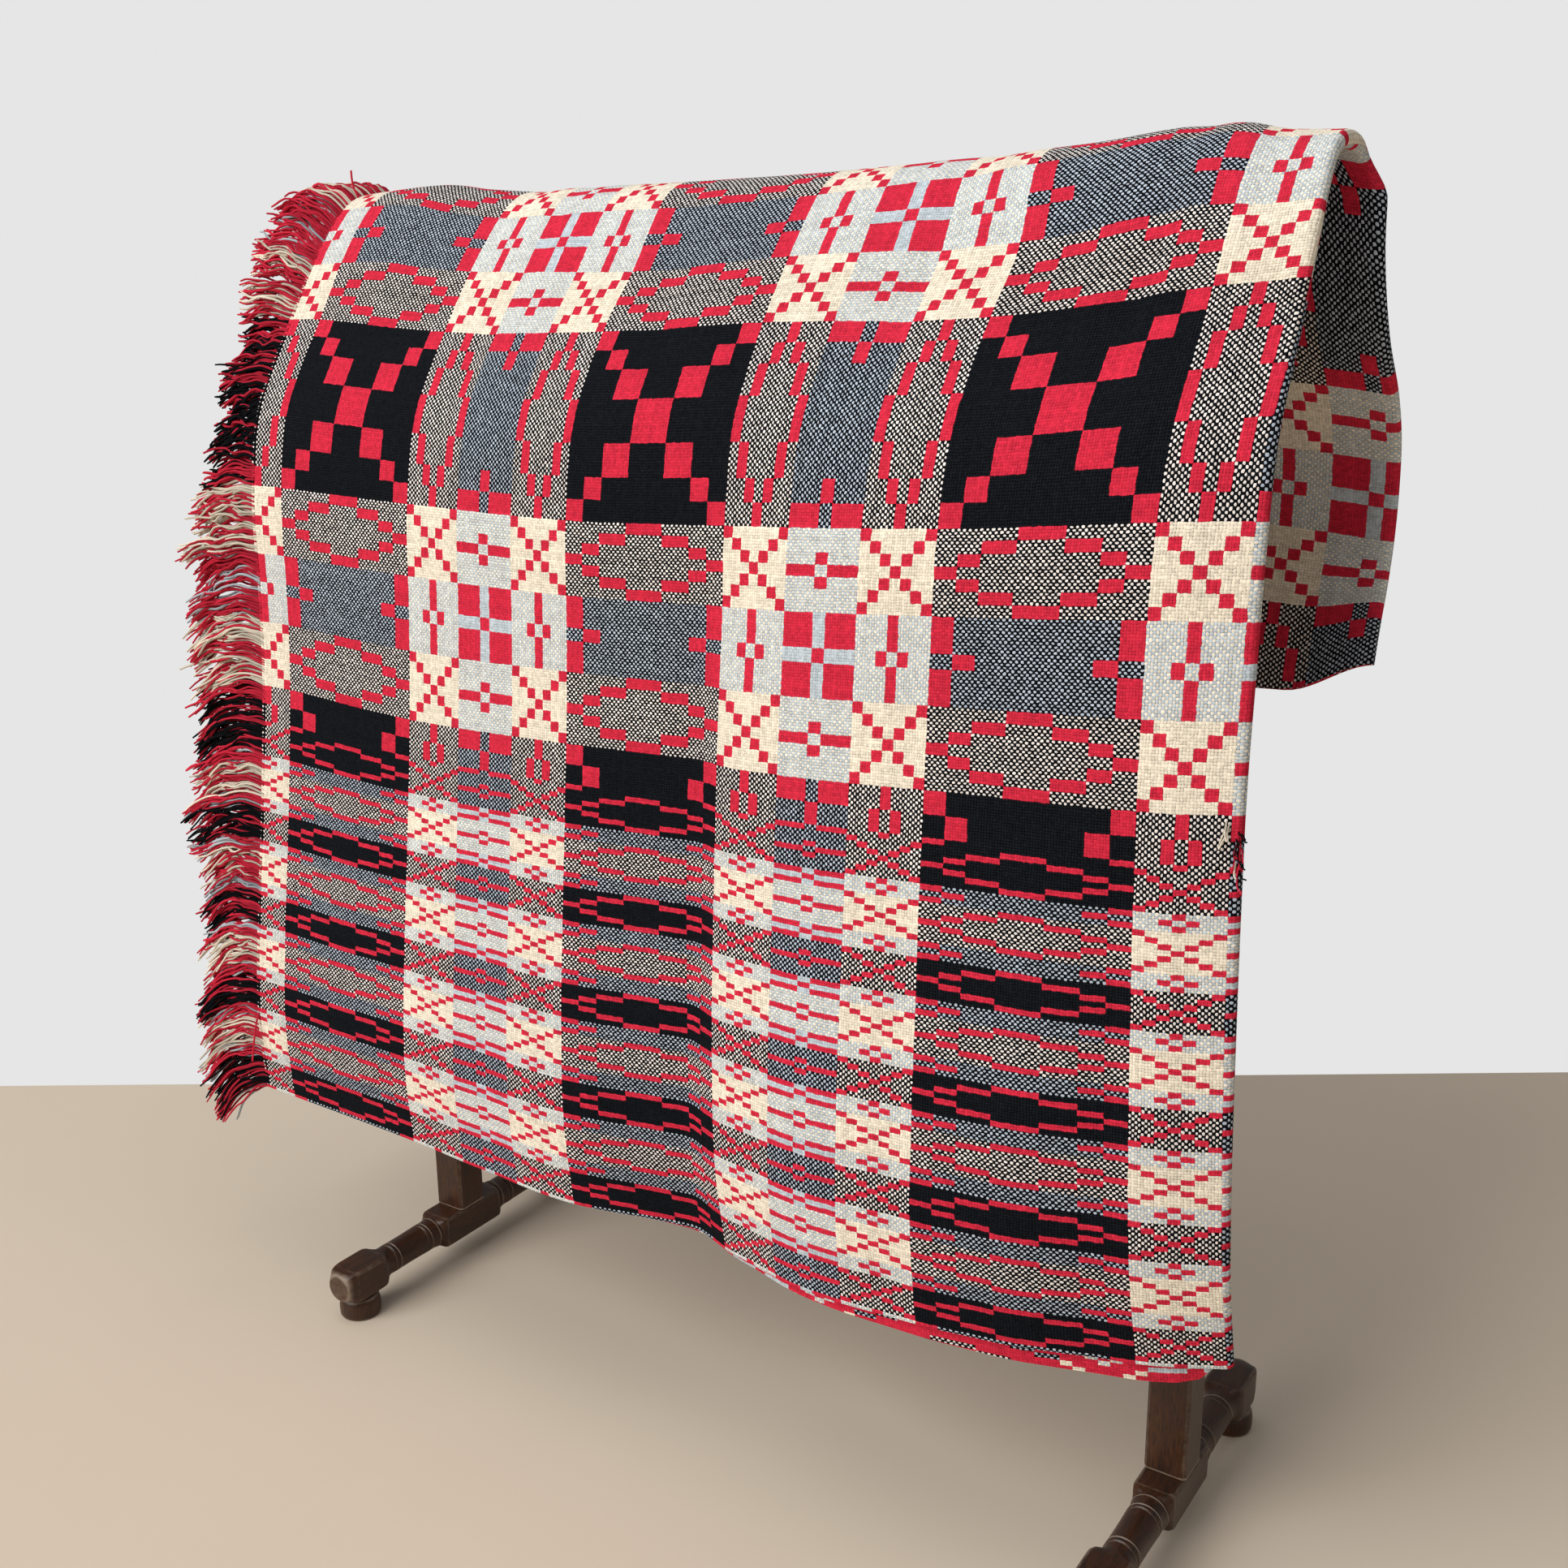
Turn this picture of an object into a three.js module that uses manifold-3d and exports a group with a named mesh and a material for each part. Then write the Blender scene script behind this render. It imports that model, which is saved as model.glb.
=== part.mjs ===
// Tapestry blanket, folded in two, hung over a dark oak towel rail on trestle feet.
// Millimetres, +Z up. X runs along the rails, Y runs from the front of the drape to its back.
// Depths below are measured from the middle of the stand and count toward the front (-Y).

import * as THREE from "three";
import { mergeVertices } from "three/addons/utils/BufferGeometryUtils.js";
import Module from "manifold-3d";

const wasm = await Module();
wasm.setup();

// Gap left between pieces that touch
const SEAT_GAP = 0.3;

// Stand
const POST = { apart: 645, side: 29, headCentre: 834 };
const BEAM = { axisHeight: 31.5, sides: 16 };
const BUN = { radius: 16.5, height: 18, reach: 120, segments: 20 };
const BUN_EDGE = { sole: 1.5, soleRise: 3, shoulder: 0.6, neck: 2.5 };
const TOP_RAIL = { radius: 12, height: 838, depth: -3 };
const SIDE_RAIL = { radius: 11.5, height: 690, depth: 67 };
const ARM = { thickness: 18, endRadius: 14 };
const RAIL_SIDES = 18;
const ROUND_STEPS = 10;

// Cloth: two layers joined by a soft fold along the right edge
const CLOTH = { thickness: 2.6, layerPitch: 4.2, leftEdge: -392, rightEdge: 368 };
const FOLD = { puff: 3.2, puffReach: 26, arcSteps: 4 };
const ACROSS_STEPS = 15;

// Lower edge of the inner layer hangs past the outer one, most near the fold
const INNER_HEM = { drop: 15, start: -180, fadeHeight: 300 };

// Section of the outer layer from the front hem over the crest to the back hem,
// with the number of steps taken to the next row
const SECTION = [
  { depth: 118, height: 175, steps: 2 },
  { depth: 124, height: 240, steps: 2 },
  { depth: 121, height: 310, steps: 3 },
  { depth: 112, height: 410, steps: 3 },
  { depth: 104, height: 510, steps: 2 },
  { depth: 100, height: 590, steps: 2 },
  { depth: 98, height: 655, steps: 3 },
  { depth: 88, height: 715, steps: 2 },
  { depth: 70, height: 752, steps: 1 },
  { depth: 54, height: 780, steps: 2 },
  { depth: 40, height: 814, steps: 2 },
  { depth: 20, height: 846, steps: 2 },
  { depth: 3, height: 864, steps: 2 },
  { depth: -18, height: 872, steps: 3 },
  { depth: -50, height: 868.5, steps: 3 },
  { depth: -61, height: 850, steps: 3 },
  { depth: -67, height: 811, steps: 2 },
  { depth: -82, height: 768, steps: 2 },
  { depth: -106, height: 735, steps: 2 },
  { depth: -120, height: 700, steps: 2 },
  { depth: -123, height: 655, steps: 2 },
  { depth: -115, height: 612, steps: 2 },
  { depth: -106, height: 577, steps: 2 },
  { depth: -99, height: 549, steps: 0 },
];
const CREST_HEIGHT = Math.max(...SECTION.map((row) => row.height));
const CREST_ROW = SECTION.findIndex((row) => row.height === CREST_HEIGHT);
const LAST_ROW = SECTION.length - 1;

// How far the front panel stands forward of that section, at six heights along the rails
const FRONT_HEIGHTS = { hem: 175, middle: 510, shoulder: 660, upper: 776, slope: 815, crest: 862 };
const FRONT_DRIFT = [
  { across: -392, hem: -3, middle: -5, shoulder: -3, upper: -7, slope: -4, crest: 0 },
  { across: -240, hem: 1, middle: -4, shoulder: -5, upper: -8, slope: -4, crest: 0 },
  { across: -90, hem: 9, middle: 1, shoulder: 1, upper: -1, slope: 0, crest: 0 },
  { across: 10, hem: -10, middle: -6, shoulder: -1, upper: 1, slope: 0, crest: 0 },
  { across: 60, hem: 2, middle: 2, shoulder: 2, upper: -1, slope: 0, crest: 0 },
  { across: 115, hem: 13, middle: 7, shoulder: 5, upper: -4, slope: -2, crest: 0 },
  { across: 200, hem: 6, middle: 4, shoulder: 4, upper: -6, slope: -3, crest: 0 },
  { across: 315, hem: -27, middle: -5, shoulder: -5, upper: -9, slope: -5, crest: 0 },
  { across: 372, hem: -56, middle: -19, shoulder: -21, upper: -17, slope: -8, crest: 0 },
];

// How far the front panel spreads along the rails, at the same places
const FRONT_SWAY = [
  { across: -392, hem: -26, middle: -6, shoulder: -3, upper: -3, slope: 10, crest: 21 },
  { across: -240, hem: -11, middle: -3, shoulder: 1, upper: 5, slope: 18, crest: 30 },
  { across: -90, hem: 0, middle: 1, shoulder: 3, upper: 6, slope: 19, crest: 20 },
  { across: 10, hem: -1, middle: -2, shoulder: 3, upper: 4, slope: 13, crest: 18 },
  { across: 60, hem: 0, middle: -2, shoulder: 3, upper: 4, slope: 11, crest: 16 },
  { across: 115, hem: 2, middle: 0, shoulder: 3, upper: 5, slope: 14, crest: 15 },
  { across: 200, hem: 7, middle: 1, shoulder: 3, upper: 6, slope: 17, crest: 12 },
  { across: 315, hem: 11, middle: 1, shoulder: 1, upper: 5, slope: 10, crest: 13 },
  { across: 372, hem: 11, middle: 2, shoulder: 1, upper: -1, slope: 1, crest: 0 },
];

// Rise of the crest where the post heads push it up
const CREST_LIFT = [
  { across: -392, lift: 1.8 },
  { across: -318, lift: 4.6 },
  { across: -285, lift: 0.2 },
  { across: -225, lift: -4.8 },
  { across: -195, lift: -3.4 },
  { across: -85, lift: -4.4 },
  { across: 40, lift: -3.9 },
  { across: 207, lift: 1.9 },
  { across: 284, lift: 8.2 },
  { across: 318, lift: 2.6 },
  { across: 372, lift: 0 },
];
const LIFT_HEIGHTS = { from: 770, full: 850 };

// Belly of the back panel, its spread along the rails, and its raised lower corner at the fold
const BACK_PANEL = [
  { across: -392, belly: -14, sway: 0 },
  { across: -120, belly: -4, sway: 0 },
  { across: 60, belly: -9, sway: 0 },
  { across: 250, belly: 4, sway: 5 },
  { across: 372, belly: 22, sway: 12 },
];
const BELLY_HEIGHTS = { from: 830, full: 700 };
const SWAY_HEIGHTS = { from: 868, full: 840 };
const BACK_CORNER = { rise: 20, start: 318, from: 640 };

// Fringe: a narrow strip beside the cut warp ends, one for each stretch of the drape
const FRINGE = { stripWidth: 4, locks: 176, length: 80, lengthSpread: 9 };
const LOCK = { rootRadius: 1.6, tipRadius: 0.5, sides: 3, sagPower: 1.6, forwardPower: 1.3, bow: 4 };
const LOCK_SPANS = [0, 0.38, 0.72, 1];
const LOCK_WAVES = [
  { rate: 0.37, phase: 0, share: 0.6 },
  { rate: 0.13, phase: 1.1, share: 0.4 },
];
const LOCK_END_MARGIN = 0.08;
const EDGE_SAMPLES = 600;

// How the locks lie at rows of the section: sink of the tip, rise of the middle, reach forward,
// and share of the full length
const FRINGE_LAY = [
  { row: 0, sink: 60, arch: 0, forward: 8, share: 1 },
  { row: 0.35, sink: 48, arch: 3, forward: 7, share: 1 },
  { row: 1, sink: 32, arch: 6, forward: 5, share: 1 },
  { row: 2, sink: 27, arch: 7, forward: 3, share: 1 },
  { row: 3, sink: 25, arch: 7, forward: 2, share: 1 },
  { row: 4, sink: 24, arch: 6, forward: 3, share: 1 },
  { row: 5, sink: 20, arch: 5, forward: 3, share: 1 },
  { row: 5.8, sink: 14, arch: 4, forward: 4, share: 0.95 },
  { row: 6.4, sink: 9, arch: 3, forward: 4, share: 0.62 },
  { row: 7, sink: 7, arch: 2, forward: 4, share: 0.56 },
  { row: 8, sink: 3, arch: 1, forward: 4, share: 0.6 },
  { row: 9, sink: -6, arch: 1, forward: 4, share: 0.67 },
  { row: 10, sink: -12, arch: 2, forward: 3, share: 0.74 },
  { row: 11, sink: -18, arch: 5, forward: 0, share: 0.74 },
  { row: 12, sink: -9, arch: 9, forward: -4, share: 0.72 },
  { row: 13, sink: 6, arch: 12, forward: -7, share: 0.72 },
  { row: 14, sink: 9, arch: 11, forward: -9, share: 0.75 },
  { row: 16, sink: 12, arch: 9, forward: -11, share: 0.8 },
  { row: 18, sink: 22, arch: 7, forward: -12, share: 0.9 },
  { row: 20, sink: 30, arch: 6, forward: -12, share: 1 },
  { row: 23, sink: 36, arch: 4, forward: -8, share: 1 },
];
const FRINGE_STRETCHES = [
  { name: "fringe_front", from: 0, to: 6.9 },
  { name: "fringe_front_slope", from: 6.94, to: CREST_ROW - 0.02 },
  { name: "fringe_back_slope", from: CREST_ROW + 0.02, to: 18.4 },
  { name: "fringe_back", from: 18.44, to: LAST_ROW },
];

// Half of one foot beam from the post outward: half width, half height, and how round it is
const BEAM_STATIONS = [
  { reach: 32, width: 14.5, height: 13.2, round: 0 },
  { reach: 37, width: 13.2, height: 12.6, round: 0.6 },
  { reach: 40, width: 12.4, height: 12.4, round: 1 },
  { reach: 94, width: 11.8, height: 11.8, round: 1 },
  { reach: 97, width: 12.6, height: 12.6, round: 0.9 },
  { reach: 103, width: 14.5, height: 13.2, round: 0 },
  { reach: 130, width: 14.5, height: 13.2, round: 0 },
  { reach: 137, width: 13.6, height: 12.6, round: 0.35 },
  { reach: 141, width: 11, height: 11, round: 0.95 },
];

const CLOTH_COLOUR = 0x8f4a50;
const FRINGE_COLOUR = 0xa03040;
const WOOD_COLOUR = 0x2f1c12;

function fabric(colour) {
  return new THREE.MeshStandardMaterial({ color: colour, roughness: 0.95, metalness: 0 });
}

function stainedOak() {
  return new THREE.MeshStandardMaterial({ color: WOOD_COLOUR, roughness: 0.45, metalness: 0 });
}

// Smooth value of a table's column at a place between its rows
function lookUp(table, key, column, place) {
  const last = table.length - 1;
  let i = 0;
  while (i < last - 1 && place > table[i + 1][key]) i += 1;
  const slope = (k) => {
    const before = table[Math.max(k - 1, 0)];
    const after = table[Math.min(k + 1, last)];
    return (after[column] - before[column]) / (after[key] - before[key]);
  };
  const span = table[i + 1][key] - table[i][key];
  const t = THREE.MathUtils.clamp((place - table[i][key]) / span, 0, 1);
  const rise = slope(i) * span * t * (1 - t) ** 2;
  const fall = slope(i + 1) * span * t * t * (1 - t);
  const blend = t * t * (3 - 2 * t);
  return THREE.MathUtils.lerp(table[i][column], table[i + 1][column], blend) + rise - fall;
}

// Value of a front panel's table at a place along the rails and a height
function onFront(table, across, height) {
  const column = Object.entries(FRONT_HEIGHTS).map(([name, level]) => {
    return { level, value: lookUp(table, "across", name, across) };
  });
  return lookUp(column, "level", "value", height);
}

// How far a height has come down from one level to a lower one, eased from 0 to 1
function loweredTo(height, from, full) {
  return THREE.MathUtils.smoothstep(-height, -from, -full);
}

const sectionCurve = new THREE.CatmullRomCurve3(
  SECTION.map((row) => new THREE.Vector3(0, -row.depth, row.height)),
);

// Point on the middle of the outer layer: across is X, row counts along SECTION
function clothPoint(across, row) {
  const point = sectionCurve.getPoint(row / LAST_ROW);
  const height = point.z;
  const raised = THREE.MathUtils.smoothstep(height, LIFT_HEIGHTS.from, LIFT_HEIGHTS.full);
  point.x = across;
  point.z += lookUp(CREST_LIFT, "across", "lift", across) * raised;
  if (row <= CREST_ROW) {
    point.x += onFront(FRONT_SWAY, across, height);
    point.y -= onFront(FRONT_DRIFT, across, height);
    return point;
  }
  const hung = loweredTo(height, BELLY_HEIGHTS.from, BELLY_HEIGHTS.full);
  const swung = loweredTo(height, SWAY_HEIGHTS.from, SWAY_HEIGHTS.full);
  const atCorner = THREE.MathUtils.smoothstep(across, BACK_CORNER.start, CLOTH.rightEdge);
  const atCrest = lookUp(FRONT_SWAY, "across", "crest", across);
  const below = lookUp(BACK_PANEL, "across", "sway", across);
  point.x += THREE.MathUtils.lerp(atCrest, below, swung);
  point.y += lookUp(BACK_PANEL, "across", "belly", across) * hung;
  point.z += BACK_CORNER.rise * atCorner * loweredTo(height, BACK_CORNER.from, SECTION[LAST_ROW].height);
  return point;
}

// Share of a row over which the direction along the drape is taken
const FRAME_STEP = 0.02;

// Point with the direction along the rails and the direction out of the cloth
function clothFrame(across, row) {
  const point = clothPoint(across, row);
  const side = clothPoint(across + 1, row).sub(clothPoint(across - 1, row)).normalize();
  const ends = [Math.max(row - FRAME_STEP, 0), Math.min(row + FRAME_STEP, LAST_ROW)];
  const up = clothPoint(across, ends[1]).sub(clothPoint(across, ends[0])).normalize();
  const out = new THREE.Vector3().crossVectors(side, up).normalize();
  return { point, side, out };
}

function layerPitch(across) {
  const toFold = CLOTH.rightEdge - across;
  return CLOTH.layerPitch + FOLD.puff * Math.exp(-toFold / FOLD.puffReach);
}

// The two layers as one path: outer layer, fold, inner layer. Each stop has its place across,
// its offset out of the outer layer, and the tilt of its own face round the fold.
function hairpinPath() {
  const foldRadius = layerPitch(CLOTH.rightEdge) / 2;
  const foldCentre = CLOTH.rightEdge - foldRadius - CLOTH.thickness / 2;
  const run = [];
  for (let i = 0; i <= ACROSS_STEPS; i += 1) {
    run.push(THREE.MathUtils.lerp(CLOTH.leftEdge, foldCentre, i / ACROSS_STEPS));
  }
  const foldOffset = (across) => (across === foldCentre ? 2 * foldRadius : layerPitch(across));
  const outer = run.map((across) => ({ across, offset: 0, tilt: Math.PI / 2, inner: 0 }));
  const inner = run.map((across) => {
    return { across, offset: -foldOffset(across), tilt: -Math.PI / 2, inner: 1 };
  });
  const fold = [];
  for (let i = 1; i < FOLD.arcSteps; i += 1) {
    const tilt = Math.PI / 2 - (Math.PI * i) / FOLD.arcSteps;
    const across = foldCentre + foldRadius * Math.cos(tilt);
    const offset = foldRadius * (Math.sin(tilt) - 1);
    fold.push({ across, offset, tilt, inner: i / FOLD.arcSteps });
  }
  return [...outer, ...fold, ...inner.reverse()];
}

function innerHemDrop(across, height) {
  const toFold = THREE.MathUtils.smoothstep(across, INNER_HEM.start, CLOTH.rightEdge);
  return INNER_HEM.drop * toFold * loweredTo(height, INNER_HEM.fadeHeight, SECTION[0].height);
}

function geometryFrom(points, triangles) {
  const geometry = new THREE.BufferGeometry();
  geometry.setAttribute("position", new THREE.Float32BufferAttribute(points.flat(), 3));
  geometry.setIndex(triangles);
  geometry.computeVertexNormals();
  return geometry;
}

function sectionRows() {
  const rows = [];
  SECTION.forEach((row, i) => {
    for (let step = 0; step < row.steps; step += 1) rows.push(i + step / row.steps);
  });
  rows.push(LAST_ROW);
  return rows;
}

// One closed sheet: both faces of the hairpin, its two hems and its two cut ends
function blanketGeometry() {
  const path = hairpinPath();
  const rows = sectionRows();
  const points = [];
  for (const facing of [1, -1]) {
    for (const stop of path) {
      for (const row of rows) {
        const { point, side, out } = clothFrame(stop.across, row);
        const lift = (CLOTH.thickness / 2) * facing;
        point.addScaledVector(out, stop.offset + lift * Math.sin(stop.tilt));
        point.addScaledVector(side, lift * Math.cos(stop.tilt));
        if (row < CREST_ROW) point.z -= innerHemDrop(stop.across, point.z) * stop.inner;
        points.push(point.toArray());
      }
    }
  }
  const triangles = [];
  const quad = (a, b, c, d) => triangles.push(a, b, c, a, c, d);
  const face = path.length * rows.length;
  const at = (k, r) => k * rows.length + r;
  const lastStop = path.length - 1;
  const lastRow = rows.length - 1;
  for (let k = 0; k < lastStop; k += 1) {
    for (let r = 0; r < lastRow; r += 1) {
      quad(at(k, r), at(k + 1, r), at(k + 1, r + 1), at(k, r + 1));
      quad(face + at(k, r), face + at(k, r + 1), face + at(k + 1, r + 1), face + at(k + 1, r));
    }
    quad(at(k, 0), face + at(k, 0), face + at(k + 1, 0), at(k + 1, 0));
    quad(at(k, lastRow), at(k + 1, lastRow), face + at(k + 1, lastRow), face + at(k, lastRow));
  }
  for (let r = 0; r < lastRow; r += 1) {
    quad(at(0, r), at(0, r + 1), face + at(0, r + 1), face + at(0, r));
    quad(at(lastStop, r), face + at(lastStop, r), face + at(lastStop, r + 1), at(lastStop, r + 1));
  }
  return geometryFrom(points, triangles);
}

// Closed tube through rings of equal length, capped by a fan at both ends
function loft(rings) {
  const sides = rings[0].length;
  const points = rings.flat().map((point) => point.toArray());
  const triangles = [];
  for (let i = 0; i < rings.length - 1; i += 1) {
    for (let j = 0; j < sides; j += 1) {
      const a = i * sides + j;
      const b = i * sides + ((j + 1) % sides);
      triangles.push(a, b, b + sides, a, b + sides, a + sides);
    }
  }
  const last = (rings.length - 1) * sides;
  for (let j = 1; j < sides - 1; j += 1) {
    triangles.push(0, j + 1, j, last, last + j, last + j + 1);
  }
  return geometryFrom(points, triangles);
}

function toSolid(geometry) {
  const bare = geometry.clone();
  bare.deleteAttribute("normal");
  const merged = mergeVertices(bare);
  return new wasm.Manifold(
    new wasm.Mesh({
      numProp: 3,
      vertProperties: new Float32Array(merged.attributes.position.array),
      triVerts: new Uint32Array(merged.index.array),
    }),
  );
}

function joined(geometries) {
  const solid = geometries.map(toSolid).reduce((whole, next) => whole.add(next));
  const mesh = solid.getMesh();
  const points = [];
  for (let i = 0; i < mesh.vertProperties.length; i += mesh.numProp) {
    points.push([...mesh.vertProperties.slice(i, i + 3)]);
  }
  return geometryFrom(points, [...mesh.triVerts]);
}

// Strip beside the left edge, as thick as both layers, stepped as the cloth is
function fringeStrip(from, to) {
  const beside = (point, far) => point.clone().setX(point.x - SEAT_GAP - far);
  const between = sectionRows().filter((row) => row > from && row < to);
  const rings = [from, ...between, to].map((row) => {
    const { point, out } = clothFrame(CLOTH.leftEdge, row);
    const outer = point.clone().addScaledVector(out, CLOTH.thickness / 2);
    const inner = point.clone().addScaledVector(out, -CLOTH.layerPitch - CLOTH.thickness / 2);
    return [
      beside(inner, 0),
      beside(inner, FRINGE.stripWidth),
      beside(outer, FRINGE.stripWidth),
      beside(outer, 0),
    ];
  });
  return loft(rings);
}

// One lock: tapering, reaching away from the edge and falling as its row lies
function fringeLock(row, index) {
  const { point, out } = clothFrame(CLOTH.leftEdge, row);
  const wave = LOCK_WAVES.reduce((sum, { rate, phase, share }) => {
    return sum + Math.sin(index * rate + phase) * share;
  }, 0);
  const [sink, arch, forward, share] = ["sink", "arch", "forward", "share"].map((column) => {
    return lookUp(FRINGE_LAY, "row", column, row);
  });
  const length = (FRINGE.length + FRINGE.lengthSpread * wave) * share;
  const reach = Math.sqrt(length ** 2 - sink ** 2);
  const layerOffset = index % 2 === 0 ? 0 : -CLOTH.layerPitch;
  const root = point.x - SEAT_GAP - FRINGE.stripWidth / 2;
  const rings = LOCK_SPANS.map((span) => {
    const radius = THREE.MathUtils.lerp(LOCK.rootRadius, LOCK.tipRadius, span);
    const bow = Math.sin(span * Math.PI) * LOCK.bow * wave;
    const centre = point.clone().addScaledVector(out, layerOffset + bow);
    centre.x = root - reach * span;
    centre.y -= forward * span ** LOCK.forwardPower;
    centre.z += 4 * arch * span * (1 - span) - sink * span ** LOCK.sagPower;
    const ring = [];
    for (let corner = LOCK.sides; corner > 0; corner -= 1) {
      const turn = (corner / LOCK.sides) * 2 * Math.PI;
      const offset = new THREE.Vector3(0, Math.cos(turn) * radius, Math.sin(turn) * radius);
      ring.push(offset.add(centre));
    }
    return ring;
  });
  return loft(rings);
}

// Rows spaced evenly along the left edge, one for each lock
function lockRows() {
  const lengths = [0];
  let before = clothPoint(CLOTH.leftEdge, 0);
  for (let i = 1; i <= EDGE_SAMPLES; i += 1) {
    const next = clothPoint(CLOTH.leftEdge, (i / EDGE_SAMPLES) * LAST_ROW);
    lengths.push(lengths[i - 1] + next.distanceTo(before));
    before = next;
  }
  const rows = [];
  for (let lock = 0; lock < FRINGE.locks; lock += 1) {
    const target = ((lock + 0.5) / FRINGE.locks) * lengths[EDGE_SAMPLES];
    const i = lengths.findIndex((length) => length >= target);
    rows.push((i / EDGE_SAMPLES) * LAST_ROW);
  }
  return rows;
}

function fringe({ name, from, to }) {
  const pieces = [fringeStrip(from, to)];
  lockRows().forEach((row, index) => {
    const clear = row > from + LOCK_END_MARGIN && row < to - LOCK_END_MARGIN;
    if (clear) pieces.push(fringeLock(row, index));
  });
  return named(name, joined(pieces), fabric(FRINGE_COLOUR));
}

function named(name, geometry, material) {
  const mesh = new THREE.Mesh(geometry, material);
  mesh.name = name;
  return mesh;
}

// Ring of a foot beam: between a square and a round outline, about the beam's axis
function beamRing(station, reach) {
  const ring = [];
  for (let i = 0; i < BEAM.sides; i += 1) {
    const turn = (i / BEAM.sides) * 2 * Math.PI;
    const square = 1 / Math.max(Math.abs(Math.cos(turn)), Math.abs(Math.sin(turn)));
    const size = THREE.MathUtils.lerp(square, 1, station.round);
    ring.push(
      new THREE.Vector3(
        Math.cos(turn) * size * station.width,
        reach,
        BEAM.axisHeight + Math.sin(turn) * size * station.height,
      ),
    );
  }
  return ring;
}

function footBeam() {
  const front = BEAM_STATIONS.map((station) => beamRing(station, -station.reach)).reverse();
  const back = BEAM_STATIONS.map((station) => beamRing(station, station.reach));
  return loft([...front, ...back].map((ring) => ring.reverse()));
}

function bunFoot() {
  const { radius, height } = BUN;
  const profile = [
    [0, 0],
    [radius - BUN_EDGE.sole, 0],
    [radius, BUN_EDGE.soleRise],
    [radius, height * BUN_EDGE.shoulder],
    [radius - BUN_EDGE.neck, height],
    [0, height],
  ];
  const outline = profile.map(([x, y]) => new THREE.Vector2(x, y));
  return new THREE.LatheGeometry(outline, BUN.segments).rotateX(Math.PI / 2);
}

// Square post with a half-round head, its outline drawn in Y and Z
function post(bottom) {
  const half = POST.side / 2;
  const outline = new THREE.Shape();
  outline.moveTo(-half, bottom);
  outline.lineTo(half, bottom);
  outline.lineTo(half, POST.headCentre);
  outline.absarc(0, POST.headCentre, half, 0, Math.PI, false);
  return slab(outline, POST.side);
}

// Bar along Y with round ends, fixed on the inner face of a post
function arm() {
  const { depth, height } = SIDE_RAIL;
  const outline = new THREE.Shape();
  outline.absarc(depth, height, ARM.endRadius, -Math.PI / 2, Math.PI / 2, false);
  outline.absarc(-depth, height, ARM.endRadius, Math.PI / 2, 1.5 * Math.PI, false);
  return slab(outline, ARM.thickness);
}

// Extrusion along X, centred on X = 0, of an outline drawn in Y and Z
function slab(outline, thickness) {
  const settings = { depth: thickness, bevelEnabled: false, curveSegments: ROUND_STEPS };
  const geometry = new THREE.ExtrudeGeometry(outline, settings);
  const turned = new THREE.Matrix4().set(0, 0, 1, -thickness / 2, 1, 0, 0, 0, 0, 1, 0, 0, 0, 0, 0, 1);
  return geometry.applyMatrix4(turned);
}

function rail(name, radius, length, depth, height) {
  const geometry = new THREE.CylinderGeometry(radius, radius, length, RAIL_SIDES);
  const mesh = named(name, geometry.rotateZ(Math.PI / 2), stainedOak());
  mesh.position.set(0, -depth, height);
  return mesh;
}

function standEnd(side, sign) {
  const end = new THREE.Group();
  const beamTop = BEAM.axisHeight + BEAM_STATIONS[0].height;
  end.position.x = (sign * POST.apart) / 2;
  end.add(named(`post_${side}`, post(beamTop + SEAT_GAP), stainedOak()));
  end.add(named(`foot_beam_${side}`, footBeam(), stainedOak()));
  const armMesh = named(`arm_${side}`, arm(), stainedOak());
  armMesh.position.x = -sign * (POST.side / 2 + SEAT_GAP + ARM.thickness / 2);
  end.add(armMesh);
  for (const [place, reach] of [["front", -BUN.reach], ["back", BUN.reach]]) {
    const bun = named(`bun_foot_${place}_${side}`, bunFoot(), stainedOak());
    bun.position.y = reach;
    end.add(bun);
  }
  return end;
}

function stand() {
  const whole = new THREE.Group();
  const betweenPosts = POST.apart - POST.side - 2 * SEAT_GAP;
  const betweenArms = betweenPosts - 2 * (ARM.thickness + SEAT_GAP);
  whole.add(standEnd("left", -1), standEnd("right", 1));
  whole.add(rail("top_rail", TOP_RAIL.radius, betweenPosts, TOP_RAIL.depth, TOP_RAIL.height));
  whole.add(rail("front_rail", SIDE_RAIL.radius, betweenArms, SIDE_RAIL.depth, SIDE_RAIL.height));
  whole.add(rail("back_rail", SIDE_RAIL.radius, betweenArms, -SIDE_RAIL.depth, SIDE_RAIL.height));
  return whole;
}

// The origin is on the floor, under the middle of everything built
function centred(whole) {
  const box = new THREE.Box3().setFromObject(whole);
  const middle = box.getCenter(new THREE.Vector3());
  whole.position.set(-middle.x, -middle.y, -box.min.z);
  return whole;
}

const drape = new THREE.Group();
drape.add(named("blanket", blanketGeometry(), fabric(CLOTH_COLOUR)));
FRINGE_STRETCHES.forEach((stretch) => drape.add(fringe(stretch)));

const whole = new THREE.Group();
whole.add(drape, stand());

export default centred(whole);
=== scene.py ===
import math

import bpy
import numpy as np
from mathutils import Matrix, Vector


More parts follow.
